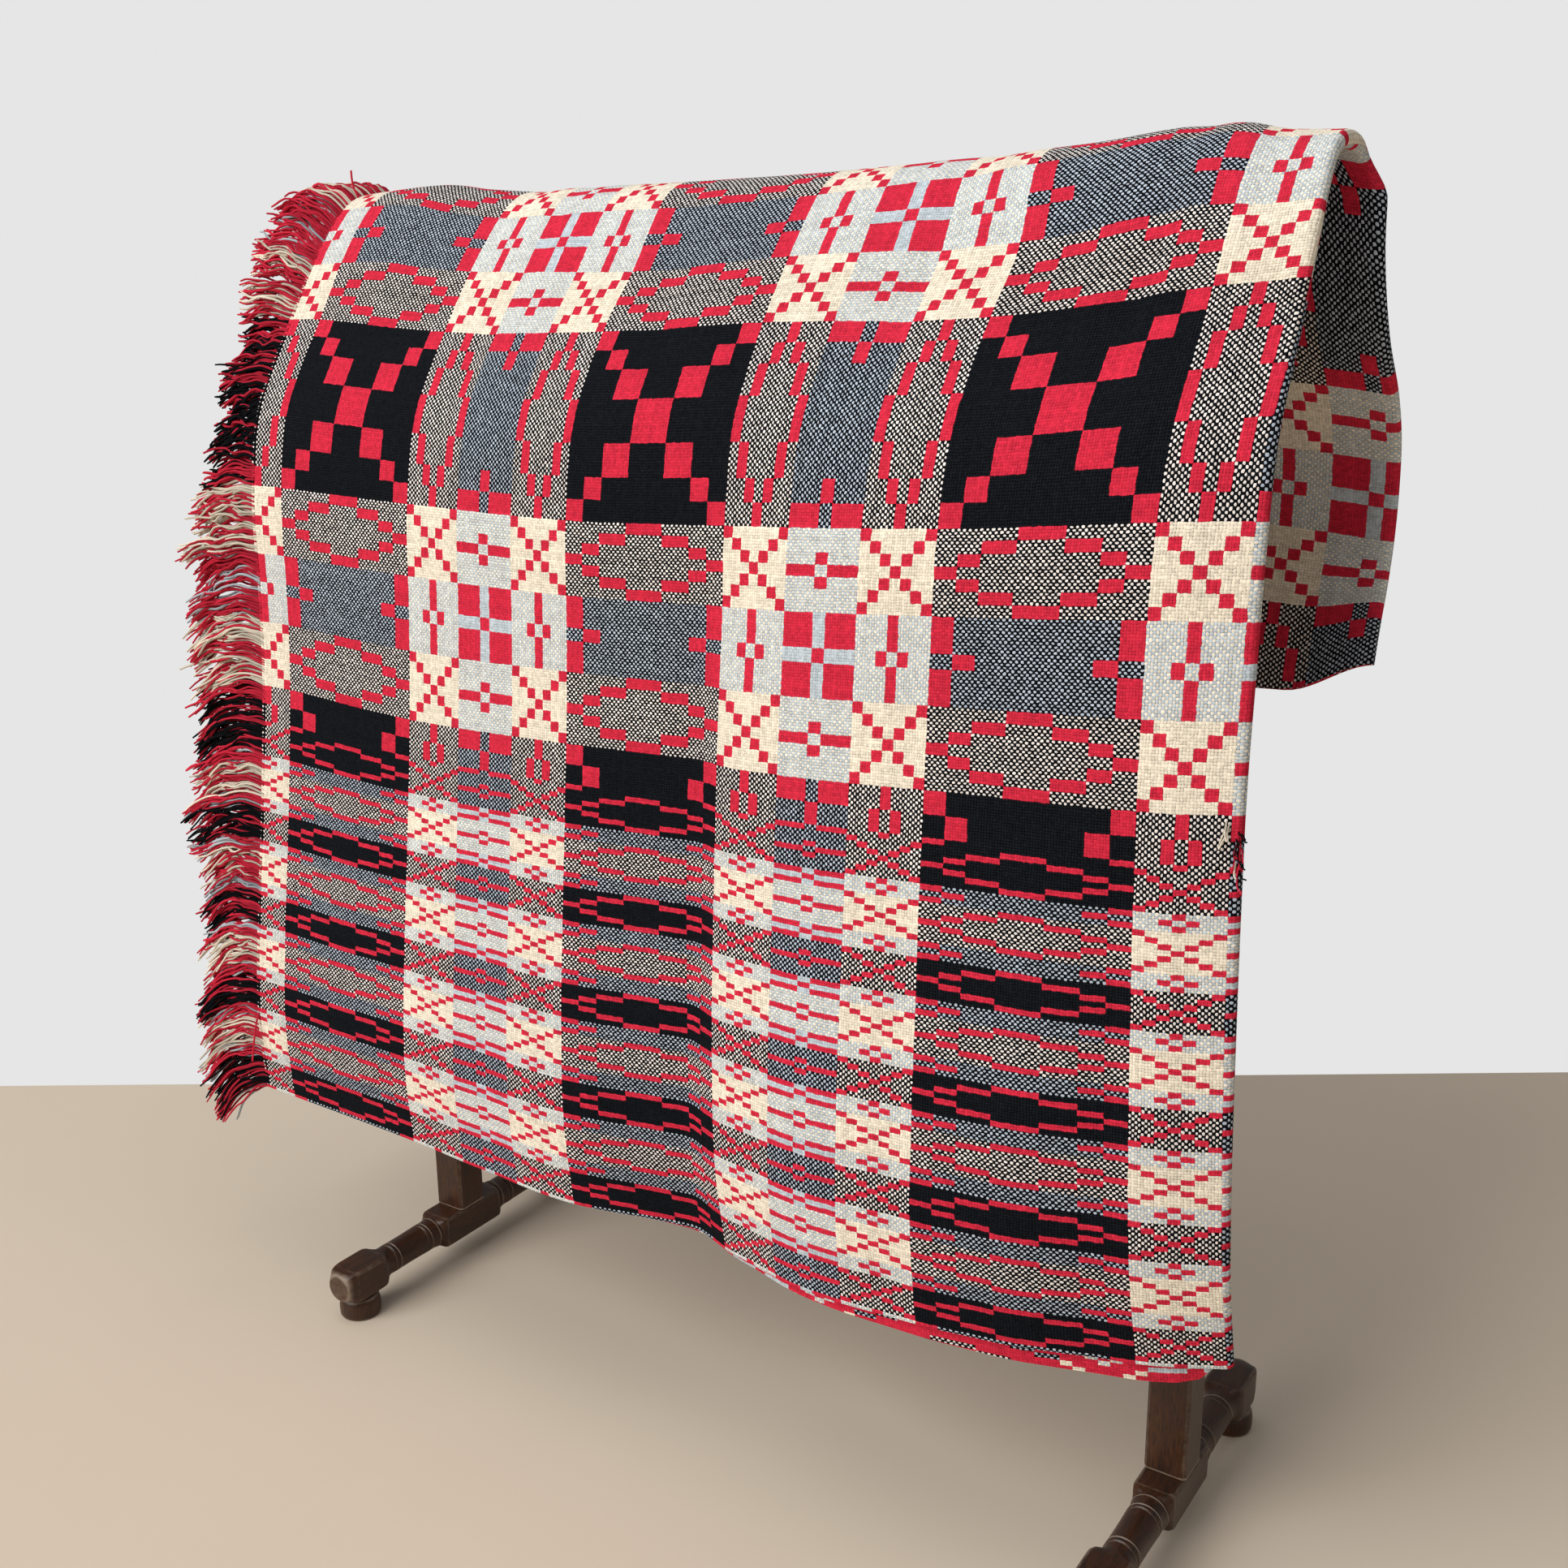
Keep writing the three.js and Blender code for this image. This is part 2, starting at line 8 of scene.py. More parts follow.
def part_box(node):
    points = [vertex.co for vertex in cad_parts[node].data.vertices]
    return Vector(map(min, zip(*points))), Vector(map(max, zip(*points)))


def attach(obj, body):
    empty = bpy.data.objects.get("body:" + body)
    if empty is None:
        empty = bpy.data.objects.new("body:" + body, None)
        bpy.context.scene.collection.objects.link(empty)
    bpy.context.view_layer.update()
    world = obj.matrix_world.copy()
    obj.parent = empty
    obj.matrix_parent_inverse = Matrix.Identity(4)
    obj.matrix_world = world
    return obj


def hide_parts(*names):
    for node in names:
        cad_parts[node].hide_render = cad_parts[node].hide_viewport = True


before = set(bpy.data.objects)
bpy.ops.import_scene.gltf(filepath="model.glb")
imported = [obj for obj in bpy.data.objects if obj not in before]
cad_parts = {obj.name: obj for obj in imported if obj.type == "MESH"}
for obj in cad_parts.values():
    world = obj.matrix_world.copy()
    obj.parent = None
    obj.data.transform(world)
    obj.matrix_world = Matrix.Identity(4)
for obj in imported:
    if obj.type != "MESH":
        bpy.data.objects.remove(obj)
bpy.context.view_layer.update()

bl_info = {
    "name": "Tapestry blanket on a towel rail",
    "version": (1, 0, 0),
    "blender": (4, 5, 0),
    "location": "3D View > Sidebar > Blanket",
    "description": "Dresses a folded tapestry blanket, its fringe and its oak towel rail",
    "category": "Object",
}

MM = 0.001
BODY = "root"

# Middle of the stand on the floor. Drape sizes below are in mm from it:
# across along the rails, depth toward the front, height from the floor.
POST_BOXES = [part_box("post_left"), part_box("post_right")]
STAND_MIDDLE = sum((low + high for low, high in POST_BOXES), Vector()) / 4
STAND_MIDDLE.z = 0
SIDES = ("left", "right")

# Outer layer's section, front hem over the crest to back hem: depth, height
SECTION = (
    (118, 175), (124, 240), (121, 310), (112, 410), (104, 510), (100, 590), (98, 655),
    (88, 715), (70, 752), (54, 780), (40, 814), (20, 846), (3, 864), (-18, 872),
    (-50, 868.5), (-61, 850), (-67, 811), (-82, 768), (-106, 735), (-120, 700),
    (-123, 655), (-115, 612), (-106, 577), (-99, 549),
)
CREST_ROW = 13
LAST_ROW = len(SECTION) - 1
FINE_STEPS = 2000

# How far the front panel stands forward of the section, and how far it spreads along the
# rails, at six heights
FRONT_ACROSS = (-392, -240, -90, 10, 60, 115, 200, 315, 372)
FRONT_HEIGHTS = (175, 510, 660, 776, 815, 862)
FRONT_DRIFT = (
    (-3, 1, 9, -10, 2, 13, 6, -27, -56),
    (-5, -4, 1, -6, 2, 7, 4, -5, -19),
    (-3, -5, 1, -1, 2, 5, 4, -5, -21),
    (-7, -8, -1, 1, -1, -4, -6, -9, -17),
    (-4, -4, 0, 0, 0, -2, -3, -5, -8),
    (0, 0, 0, 0, 0, 0, 0, 0, 0),
)
FRONT_SWAY = (
    (-26, -11, 0, -1, 0, 2, 7, 11, 11),
    (-6, -3, 1, -2, -2, 0, 1, 1, 2),
    (-3, 1, 3, 3, 3, 3, 3, 1, 1),
    (-3, 5, 6, 4, 4, 5, 6, 5, -1),
    (10, 18, 19, 13, 11, 14, 17, 10, 1),
    (21, 30, 20, 18, 16, 15, 12, 13, 0),
)

# Rise of the crest over the post heads
LIFT_ACROSS = (-392, -318, -285, -225, -195, -85, 40, 207, 284, 318, 372)
CREST_LIFT = (1.8, 4.6, 0.2, -4.8, -3.4, -4.4, -3.9, 1.9, 8.2, 2.6, 0)
LIFT_HEIGHTS = (770, 850)

# Belly of the back panel, its spread along the rails, and its raised corner at the fold
BACK_ACROSS = (-392, -120, 60, 250, 372)
BACK_BELLY = (-14, -4, -9, 4, 22)
BACK_SWAY = (0, 0, 0, 5, 12)
BELLY_HEIGHTS = (830, 700)
SWAY_HEIGHTS = (868, 840)
CORNER_RISE = 20
CORNER_ACROSS = (318, 368)
CORNER_HEIGHTS = (640, 549)

# Soft creases: across at the foot, lean to the top, foot and top along the drape from the
# front hem, half width, and depth (a ridge where it is negative)
CREASES = (
    (14, 10, -40, 480, 15, 3.5),
    (48, 4, -60, 420, 22, -2.5),
    (-150, -14, -40, 300, 24, 2.0),
    (165, 12, -40, 260, 26, 2.2),
    (240, 26, -60, 330, 20, -2.0),
    (292, 22, -40, 420, 15, 2.2),
    (-300, 8, 20, 330, 26, -1.6),
    (-205, 30, 520, 760, 13, 2.2),
    (-40, -26, 560, 740, 15, 1.8),
    (118, 40, 540, 770, 14, 2.4),
    (262, 24, 560, 780, 11, 2.6),
    (318, -10, 590, 760, 12, -2.4),
    (-250, -40, 800, 1080, 22, 3.0),
    (20, 30, 820, 1100, 26, -3.0),
    (200, -30, 800, 1090, 22, 3.2),
)

# Wander of the creases to either side and way along the drape for a radian of it, in mm, how
# they fade toward their ends, and their width at the foot with its gain toward the top
CREASE_WANDER = 3.0
CREASE_WAVE = 37
CREASE_FADE = 0.8
CREASE_WIDTHS = (0.8, 0.4)

# Inner hem: where it starts to show, how far from the fold it ends and is full, and the
# heights between which it grows
HEM_START = -180
HEM_END = (7, 21)
HEM_HEIGHTS = (300, 175)

# Steps of the cloth's mesh: along the drape, over each layer and round the fold
CLOTH_ROWS = 205
CLOTH_STEPS = {"outer_steps": 150, "inner_steps": 62, "fold_steps": 9}

# Weave places along the drape: height on the front panel, blocks from the first white band
FRONT_MARKS = ((175, 69.6), (508, 21.25), (657, 0.0), (776, -18.0))

# How far the weave is pulled along the front panel, in blocks, at other places and heights
PULL_ACROSS = (-365, -235, -85, 40, 190, 315, 366)
PULL_HEIGHTS = (175, 340, 508, 657, 776, 815, 862)
WARP_PULL = (
    (0, 0, 0, 0, 0, 0, 0),
    (0.6, 0.2, 0.3, 0.4, 0.8, 1.1, 1.3),
    (0.5, -0.6, -0.2, 0, 1.0, 1.5, 1.9),
    (0.9, 0.1, -0.3, 0.2, 1.2, 2.4, 2.6),
    (1.2, -0.5, -0.6, 0.2, 0.5, 2.9, 3.7),
    (0.1, -0.7, -1.4, -0.3, -0.3, 2.0, 2.9),
    (-0.4, -1.7, -1.4, -1.1, 0.2, 1.3, 2.2),
)

# How far the weave gives toward the fold, in blocks
GIVE_ACROSS = (-392, -240, -90, 10, 60, 115, 200, 308, 366)
GIVE_HEIGHTS = (175, 420, 690, 776, 815, 862)
WEFT_GIVE = (
    (0, 0, 0.9, 1.2, 1.0, 0.6, 0.35, 0.45, 0.25),
    (0, 0, 0, 0, 0, 0, 0, 0, 0),
    (0, 0, 0, 0, 0, 0, 0, 0, 0),
    (0, 0, 0, 0, 0, 0, 0, 0, 0.65),
    (0, 0, 0, 0, 0, 0, 0, 0, 0.95),
    (0, 0, 0, 0, 0, 0, 0, 0, 1.3),
)

# The fold slips askew behind the crest: pull and give in blocks, places across, rows
BACK_PULL = 2.0
BACK_GIVE = -2.1
SLIP_ACROSS = (60, 340)
SLIP_ROWS = 4

# Half repeats of the block weave, mirrored: distance from the middle where each band ends,
# its block letter and its yarn. A block shows red where warp and weft have one letter.
FIELD_BANDS = (
    (0.625, "C", "blue"), (3.625, "D", "blue"),
    (4.625, "A", "cream"), (5.625, "B", "cream"), (6.625, "C", "cream"), (7.625, "D", "cream"),
    (8.625, "C", "cream"), (9.625, "B", "cream"), (10.625, "A", "cream"),
    (12.625, "D", "black"), (14.625, "C", "black"), (17.625, "B", "black"),
    (19.625, "A", "black"),
)
BORDER_BANDS = (
    (0.25, "D", "black"), (0.75, "C", "black"), (1.25, "B", "black"), (1.75, "A", "black"),
    (2.25, "D", "blue"), (2.75, "C", "blue"), (3.25, "D", "blue"),
    (3.75, "A", "cream"), (4.25, "B", "cream"), (4.75, "C", "cream"), (5.0, "D", "cream"),
)
WEFT_MIDDLE = 28.625
WARP_MIDDLE = 10.625
BORDER_MIDDLE = 27.5
BORDER_START = 25.25
BORDER_BLACK = 25.75
THREADS_A_BLOCK = 4
WEFT_START = -3.5
BARE_THREAD = -17
LETTERS = "ABCD"
EDGE_LETTER = "D"
YARNS = ("black", "cream", "blue", "red")

# How the fringe lies at rows of the section: sink of a tip, rise of its middle, reach forward,
# and share of the full length
FRINGE_LAY = (
    (0, 60, 0, 8, 1), (0.35, 50, 3, 7, 1), (0.7, 42, 5, 6, 0.97), (1.2, 33, 6, 5, 0.94),
    (1.8, 26, 7, 3, 0.9), (2.4, 23, 7, 2, 0.95), (3.2, 21, 7, 2, 1.13), (3.8, 20, 6, 3, 1.04),
    (4.4, 18, 6, 3, 1.06), (5, 15, 5, 3, 1), (5.6, 11, 4, 4, 0.92), (6, 9, 3, 4, 0.82),
    (6.4, 7, 3, 4, 0.64), (7, 6, 2, 4, 0.56), (8, 3, 1, 4, 0.6), (9, -1, 2, 4, 0.66),
    (9.4, -9, 5, 4, 0.7), (10, -16, 8, 3, 0.74), (10.6, -18, 10, 2, 0.76),
    (11.2, -17, 11, 0, 0.76), (11.8, -11, 13, -3, 0.74), (12.4, -2, 14, -5, 0.72),
    (13, 7, 13, -7, 0.72), (14, 9, 11, -9, 0.75), (16, 12, 9, -11, 0.8), (18, 22, 7, -12, 0.9),
    (20, 30, 6, -12, 1), (23, 36, 4, -8, 1),
)

# Stretches of the fringe between rows of the section
FRINGE_STRETCHES = (
    ("fringe_front", 0.0, 6.92), ("fringe_front_slope", 6.92, CREST_ROW),
    ("fringe_back_slope", CREST_ROW, 18.42), ("fringe_back", 18.42, LAST_ROW),
)

# Start of a yarn inside the cut edge and pitch of the two plies, in mm. Then the share of
# yarns that show the other ply among pale and dark ends, and of blue ones that red ones hide.
ROOT_INSIDE = 3
PLY_PITCH = 1.4
CROSSED_PALE = 0.42
CROSSED_DARK = 0.2
BLUE_HIDDEN = 0.5

# How yarns differ: number of the draw, spread from lock to lock, spread from yarn to yarn
FRINGE_SPREAD = {
    "sink": (0, 2.8, 1.8), "arch": (5, 1.1, 0.9), "forward": (1, 4, 1.4),
    "length": (2, 0.5, 0.4), "phase": (3, 1.5, 0.4),
}

# Curl and droop of the tips in mm, where they start along a yarn, and stops along a yarn and
# sides round it
TIP_CURL = 2.5
TIP_DROOP = 3
TIP_START = 0.6
YARN_STOPS = 15
YARN_SIDES = 5

# Half of a foot beam from the post outward: reach, half width, half height, squareness of
# its outline, and wear with painted glints
BEAM_PROFILE = (
    (0, 14.5, 13.2, 1, 0), (28, 14.5, 13.2, 1, 0), (31, 14.4, 13.1, 1, 0.5),
    (33.4, 13.7, 12.7, 0.62, 0.2), (35.6, 12.9, 12.5, 0.2, 0.1), (36.6, 12.6, 12.4, 0, 0),
    (37.4, 13.0, 13.0, 0, 0.2), (38.6, 13.1, 13.1, 0, 1), (39.6, 12.7, 12.7, 0, 0),
    (41, 12.4, 12.4, 0, 0), (46.4, 12.3, 12.3, 0, 0), (47.1, 12.4, 12.4, 0, 1),
    (47.8, 11.6, 11.6, 0, 0), (48.5, 12.4, 12.4, 0, 0.3), (50.4, 12.4, 12.4, 0, 0.3),
    (51.1, 11.6, 11.6, 0, 0), (51.8, 12.4, 12.4, 0, 1), (52.6, 12.3, 12.3, 0, 0),
    (68, 12.0, 12.0, 0, 0), (82, 12.0, 12.0, 0, 0), (82.8, 12.1, 12.1, 0, 1),
    (83.5, 11.3, 11.3, 0, 0), (84.2, 12.1, 12.1, 0, 0.3), (86.4, 12.1, 12.1, 0, 0.3),
    (87.1, 11.3, 11.3, 0, 0), (87.8, 12.1, 12.1, 0, 1), (88.8, 12.0, 12.0, 0, 0),
    (94, 12.0, 12.0, 0, 0), (97, 12.6, 12.5, 0.2, 0.1), (100, 13.6, 12.8, 0.62, 0.4),
    (103, 14.4, 13.1, 0.95, 0.3), (106, 14.5, 13.2, 1, 0), (128, 14.5, 13.2, 1, 0),
    (131.5, 14.2, 13.0, 0.9, 0.4), (135.5, 13.4, 12.5, 0.62, 0.3), (138.6, 12.3, 11.8, 0.25, 0.6),
    (140.2, 11.5, 11.4, 0.05, 1), (141, 10.6, 10.6, 0, 0.7), (141.1, 9.2, 9.2, 0, 0.45),
)

# Bun foot, from the floor: share of the radius, share of the height, wear with painted glints
BUN_PROFILE = (
    (0.80, 0.0, 0.2), (0.92, 0.03, 0.6), (0.985, 0.13, 0.3), (1.0, 0.32, 0), (0.995, 0.55, 0),
    (0.965, 0.74, 0.1), (0.91, 0.87, 0.5), (0.86, 0.93, 0.9), (0.80, 0.96, 0.3), (0.78, 1.0, 0),
)

# Foot of a post, from its beam: height in m, share of its depth, wear with painted glints. Its
# head is a half round, closed from one turn to the other, in degrees.
POST_FOOT = ((0, 0.97, 1), (0.001, 1, 1), (0.0022, 1, 0))
POST_START = 0.02
POST_LEVELS = 12
HEAD_TURNS = (15, 84)
HEAD_LEVELS = 8
HEAD_WEAR_AND_GLINT = 0.1

# Ends of a rail: way in from the end in m, share of its radius. Arm from face to face: place
# in half widths, share of its section, wear with painted glints.
RAIL_ENDS = ((0, 0.9), (0.0012, 1))
RAIL_STEPS = 14
RAIL_WEAR_AND_GLINT = 0.15
ARM_PROFILE = ((-1, 0.94, 0.6), (-0.9, 1, 0.5), (0.9, 1, 0.5), (1, 0.94, 0.6))

# Points round the wooden pieces, and wear with painted glints on their corners
POST_POINTS = 40
BEAM_POINTS = 48
BUN_POINTS = 40
RAIL_POINTS = 36
ARM_POINTS = 48
POST_CORNERS = 0.55
BEAM_CORNERS = 0.6

# Loose threads: edge they come from, height, start inside the edge, reach out, drop and reach
# forward in mm, and yarn
LOOSE_THREADS = (
    ("left", 869, 4, 3, -20, 4, "red"), ("left", 245, 2, 4, 40, 9, "red"),
    ("left", 703, 2, 34, 34, 6, "red"), ("left", 716, 2, 30, 26, 10, "black"),
    ("right", 519, 9, 2, 12, 6, "cream"), ("right", 516, 8, -3, 13, 5, "cream"),
    ("right", 513, 3, 3, 5, 4, "black"), ("right", 511, 2, 5, 2, 2, "black"),
    ("right", 509, 4, 2, 7, 5, "black"), ("right", 507, 2, 4, -3, 3, "black"),
    ("right", 504, 3, 5, 6, 2, "red"), ("right", 501, 3, 3, 9, 4, "black"),
    ("right", 498, 2, 5, 4, 3, "black"), ("right", 495, 4, 2, 8, 4, "cream"),
    ("right", 491, 2, 4, 6, 2, "black"), ("right", 487, 3, 3, 10, 3, "red"),
    ("right", 518, 7, 0, 12, 6, "cream"), ("right", 515, 6, -4, 10, 6, "cream"),
    ("right", 510, 3, 1, 12, 4, "red"), ("right", 507, 2, 2, 14, 3, "red"),
    ("right", 504, 4, 0, 12, 4, "red"), ("right", 502, 2, 1, 12, 3, "red"),
)


# Drape

def eased(keys, values, places):
    """Smooth value at each place, through the values that are set at the rising keys."""
    keys = np.asarray(keys, float)
    values = np.asarray(values, float)
    order = np.arange(len(keys))
    after = np.minimum(order + 1, len(keys) - 1)
    before = np.maximum(order - 1, 0)
    spans = (keys[after] - keys[before]).reshape(-1, *[1] * (values.ndim - 1))
    slopes = (values[after] - values[before]) / spans
    low = np.clip(np.searchsorted(keys, places) - 1, 0, len(keys) - 2)

    def at(table, index):
        if table.ndim == 1:
            return table[index]
        return np.take_along_axis(table, index[None], 0)[0]

    span = keys[low + 1] - keys[low]
    t = np.clip((places - keys[low]) / span, 0, 1)
    blend = t * t * (3 - 2 * t)
    rise = at(slopes, low) * span * t * (1 - t) ** 2
    fall = at(slopes, low + 1) * span * t * t * (1 - t)
    return at(values, low) * (1 - blend) + at(values, low + 1) * blend + rise - fall


def smooth_step(places, start, full):
    t = np.clip((places - start) / (full - start), 0, 1)
    return t * t * (3 - 2 * t)


def curve_through(points, places):
    """Points of a centripetal curve through points, at places counted in points."""
    points = np.asarray(points, float)
    padded = np.vstack([2 * points[0] - points[1], points, 2 * points[-1] - points[-2]])
    low = np.clip(np.floor(places).astype(int), 0, len(points) - 2)
    t = (places - low)[..., None]
    a, b, c, d = (padded[low + k] for k in range(4))
    pairs = ((a, b), (b, c), (c, d))
    gaps = [np.sqrt(np.linalg.norm(q - p, axis=-1))[..., None] for p, q in pairs]
    leave = ((b - a) / gaps[0] - (c - a) / (gaps[0] + gaps[1])) * gaps[1] + (c - b)
    arrive = (c - b) + ((d - c) / gaps[2] - (d - b) / (gaps[1] + gaps[2])) * gaps[1]
    blend = t * t * (3 - 2 * t)
    return b * (1 - blend) + c * blend + leave * t * (1 - t) ** 2 - arrive * t * t * (1 - t)


FINE_ROWS = np.linspace(0, LAST_ROW, FINE_STEPS + 1)
FINE_SECTION = curve_through(SECTION, FINE_ROWS)
FINE_ARC = np.concatenate(
    [[0], np.cumsum(np.linalg.norm(np.diff(FINE_SECTION, axis=0), axis=1))]
)


def arc_at(rows):
    """Length along the section from the front hem, in mm."""
    return np.interp(rows, FINE_ROWS, FINE_ARC)


def creased(across, arc):
    """How far the creases push the cloth in, in mm."""
    depth = np.zeros(np.broadcast(across, arc).shape)
    at_foot, gain = CREASE_WIDTHS
    for foot, lean, low, high, width, deep in CREASES:
        share = np.clip((arc - low) / (high - low), 0, 1)
        fade = (4 * share * (1 - share)) ** CREASE_FADE
        wander = CREASE_WANDER * np.sin(arc / CREASE_WAVE + foot)
        off = (across - foot - lean * share - wander) / (width * (at_foot + gain * share))
        depth += deep * fade * np.exp(-off * off)
    return depth


def on_front(places, heights, table, across, height):
    """Value of a front panel's table at places along the rails and heights."""
    columns = np.stack([eased(places, row, across) for row in table])
    return eased(heights, columns, height)


def drape(across, rows):
    """Middle of the outer layer, in mm about the stand's middle, as X, Y, Z."""
    across, rows = np.broadcast_arrays(np.asarray(across, float), np.asarray(rows, float))
    section = curve_through(SECTION, rows)
    step = 0.01
    ahead = curve_through(SECTION, np.minimum(rows + step, LAST_ROW))
    along = ahead - curve_through(SECTION, np.maximum(rows - step, 0))
    along /= np.linalg.norm(along, axis=-1)[..., None]
    depth, height = section[..., 0], section[..., 1]
    front = rows <= CREST_ROW
    forward = on_front(FRONT_ACROSS, FRONT_HEIGHTS, FRONT_DRIFT, across, height)
    spread = on_front(FRONT_ACROSS, FRONT_HEIGHTS, FRONT_SWAY, across, height)
    belly = eased(BACK_ACROSS, BACK_BELLY, across) * smooth_step(height, *BELLY_HEIGHTS)
    over = eased(FRONT_ACROSS, FRONT_SWAY[-1], across)
    swung = smooth_step(height, *SWAY_HEIGHTS)
    sway = over * (1 - swung) + eased(BACK_ACROSS, BACK_SWAY, across) * swung
    lifted = eased(LIFT_ACROSS, CREST_LIFT, across) * smooth_step(height, *LIFT_HEIGHTS)
    corner = smooth_step(across, *CORNER_ACROSS) * smooth_step(height, *CORNER_HEIGHTS)
    inward = creased(across, arc_at(rows))
    x = across + np.where(front, spread, sway)
    depth = depth + np.where(front, forward, -belly) - along[..., 1] * inward
    z = height + lifted + np.where(front, 0, CORNER_RISE * corner) + along[..., 0] * inward
    return np.stack([x, -depth, z], axis=-1)


def drape_frame(across, rows):
    """Points of the drape with the directions along the rails and out of the cloth."""
    step = 0.02
    side = drape(across + 1, rows) - drape(across - 1, rows)
    above, below = np.minimum(rows + step, LAST_ROW), np.maximum(rows - step, 0)
    up = drape(across, above) - drape(across, below)
    side /= np.linalg.norm(side, axis=-1)[..., None]
    out = np.cross(side, up)
    out /= np.linalg.norm(out, axis=-1)[..., None]
    return drape(across, rows), side, out


def warp_place(rows, block):
    """Place along the drape in blocks of the weave, counted toward the front hem."""
    heights = FINE_SECTION[:CREST_ROW * FINE_STEPS // LAST_ROW, 1]
    arcs = [np.interp(height, heights, FINE_ARC[:len(heights)]) for height, _ in FRONT_MARKS]
    places = [place for _, place in FRONT_MARKS]
    arcs.append(FINE_ARC[-1])
    places.append(places[-1] - (arcs[-1] - arcs[-2]) / block)
    return np.interp(arc_at(rows), arcs, places)


def pulled(across, rows, places, heights, table):
    """How far the weave lies from its even place, in blocks."""
    across, rows = np.broadcast_arrays(np.asarray(across, float), np.asarray(rows, float))
    height = curve_through(SECTION, np.minimum(rows, CREST_ROW))[..., 1]
    return on_front(places, heights, table, across, height)


def back_slip(across, rows):
    """Share of the back panel's slip, full beside the fold below the crest."""
    return smooth_step(across, *SLIP_ACROSS) * smooth_step(rows, CREST_ROW, CREST_ROW + SLIP_ROWS)


def warp_pull(across, rows):
    """How far the weave is pulled toward the front hem, in blocks."""
    front = pulled(across, rows, PULL_ACROSS, PULL_HEIGHTS, WARP_PULL)
    return front + BACK_PULL * back_slip(across, rows)


def weft_give(across, rows):
    """How far the weave gives toward the fold, in blocks."""
    front = pulled(across, rows, GIVE_ACROSS, GIVE_HEIGHTS, WEFT_GIVE)
    return front + BACK_GIVE * back_slip(across, rows)


def row_at(warp, block):
    """Row of the section at a place of the weave."""
    places = warp_place(FINE_ROWS, block)
    return np.interp(-warp, -places, FINE_ROWS)


def to_frame(points):
    """Drape points in mm about the stand as points of the part, in metres."""
    return np.asarray(points) * MM + np.array(STAND_MIDDLE)


# Weave

def band_at(bands, distance):
    ends = [end for end, _, _ in bands]
    return bands[min(int(np.searchsorted(ends, distance)), len(bands) - 1)]


def mirrored(place, middle, half):
    """Distance from the nearest middle of a repeat that mirrors about it."""
    return abs((place + (half - middle)) % (2 * half) - half)


def warp_band(place):
    """Block letter and yarn of the striped warp at a place along the drape."""
    if place > BORDER_START:
        band = band_at(BORDER_BANDS, mirrored(place, BORDER_MIDDLE, BORDER_BANDS[-1][0]))
        return band[1], "black" if place < BORDER_BLACK else band[2]
    return band_at(FIELD_BANDS, mirrored(place, WARP_MIDDLE, FIELD_BANDS[-1][0]))[1:]


def end_yarn(place, ply):
    """Yarn of a cut end in the shown ply of the cloth, 0, or the one beneath it, 1."""
    letter, yarn = warp_band(place)
    shows_red = letter == EDGE_LETTER
    return "red" if shows_red == (ply == 0) else yarn


# Materials

class Value:
    """A socket of a material's nodes, with Python's operators for its maths."""

    def __init__(self, bench, socket):
        self.bench = bench
        self.socket = socket

    def out(self, name):
        """Another output of the same node."""
        return Value(self.bench, self.socket.node.outputs[name])

    def maths(self, operation, *operands):
        return self.bench.add("ShaderNodeMath", {"operation": operation}, operands)

    def __add__(self, other):
        return self.maths("ADD", self, other)

    __radd__ = __add__

    def __sub__(self, other):
        return self.maths("SUBTRACT", self, other)

    def __rsub__(self, other):
        return self.maths("SUBTRACT", other, self)

    def __mul__(self, other):
        return self.maths("MULTIPLY", self, other)

    __rmul__ = __mul__

    def __truediv__(self, other):
        return self.maths("DIVIDE", self, other)

    def __mod__(self, other):
        return self.maths("FLOORED_MODULO", self, other)

    def __gt__(self, other):
        return self.maths("GREATER_THAN", self, other)

    def __lt__(self, other):
        return self.maths("LESS_THAN", self, other)

    def __abs__(self):
        return self.maths("ABSOLUTE", self)

    def __floor__(self):
        return self.maths("FLOOR", self)


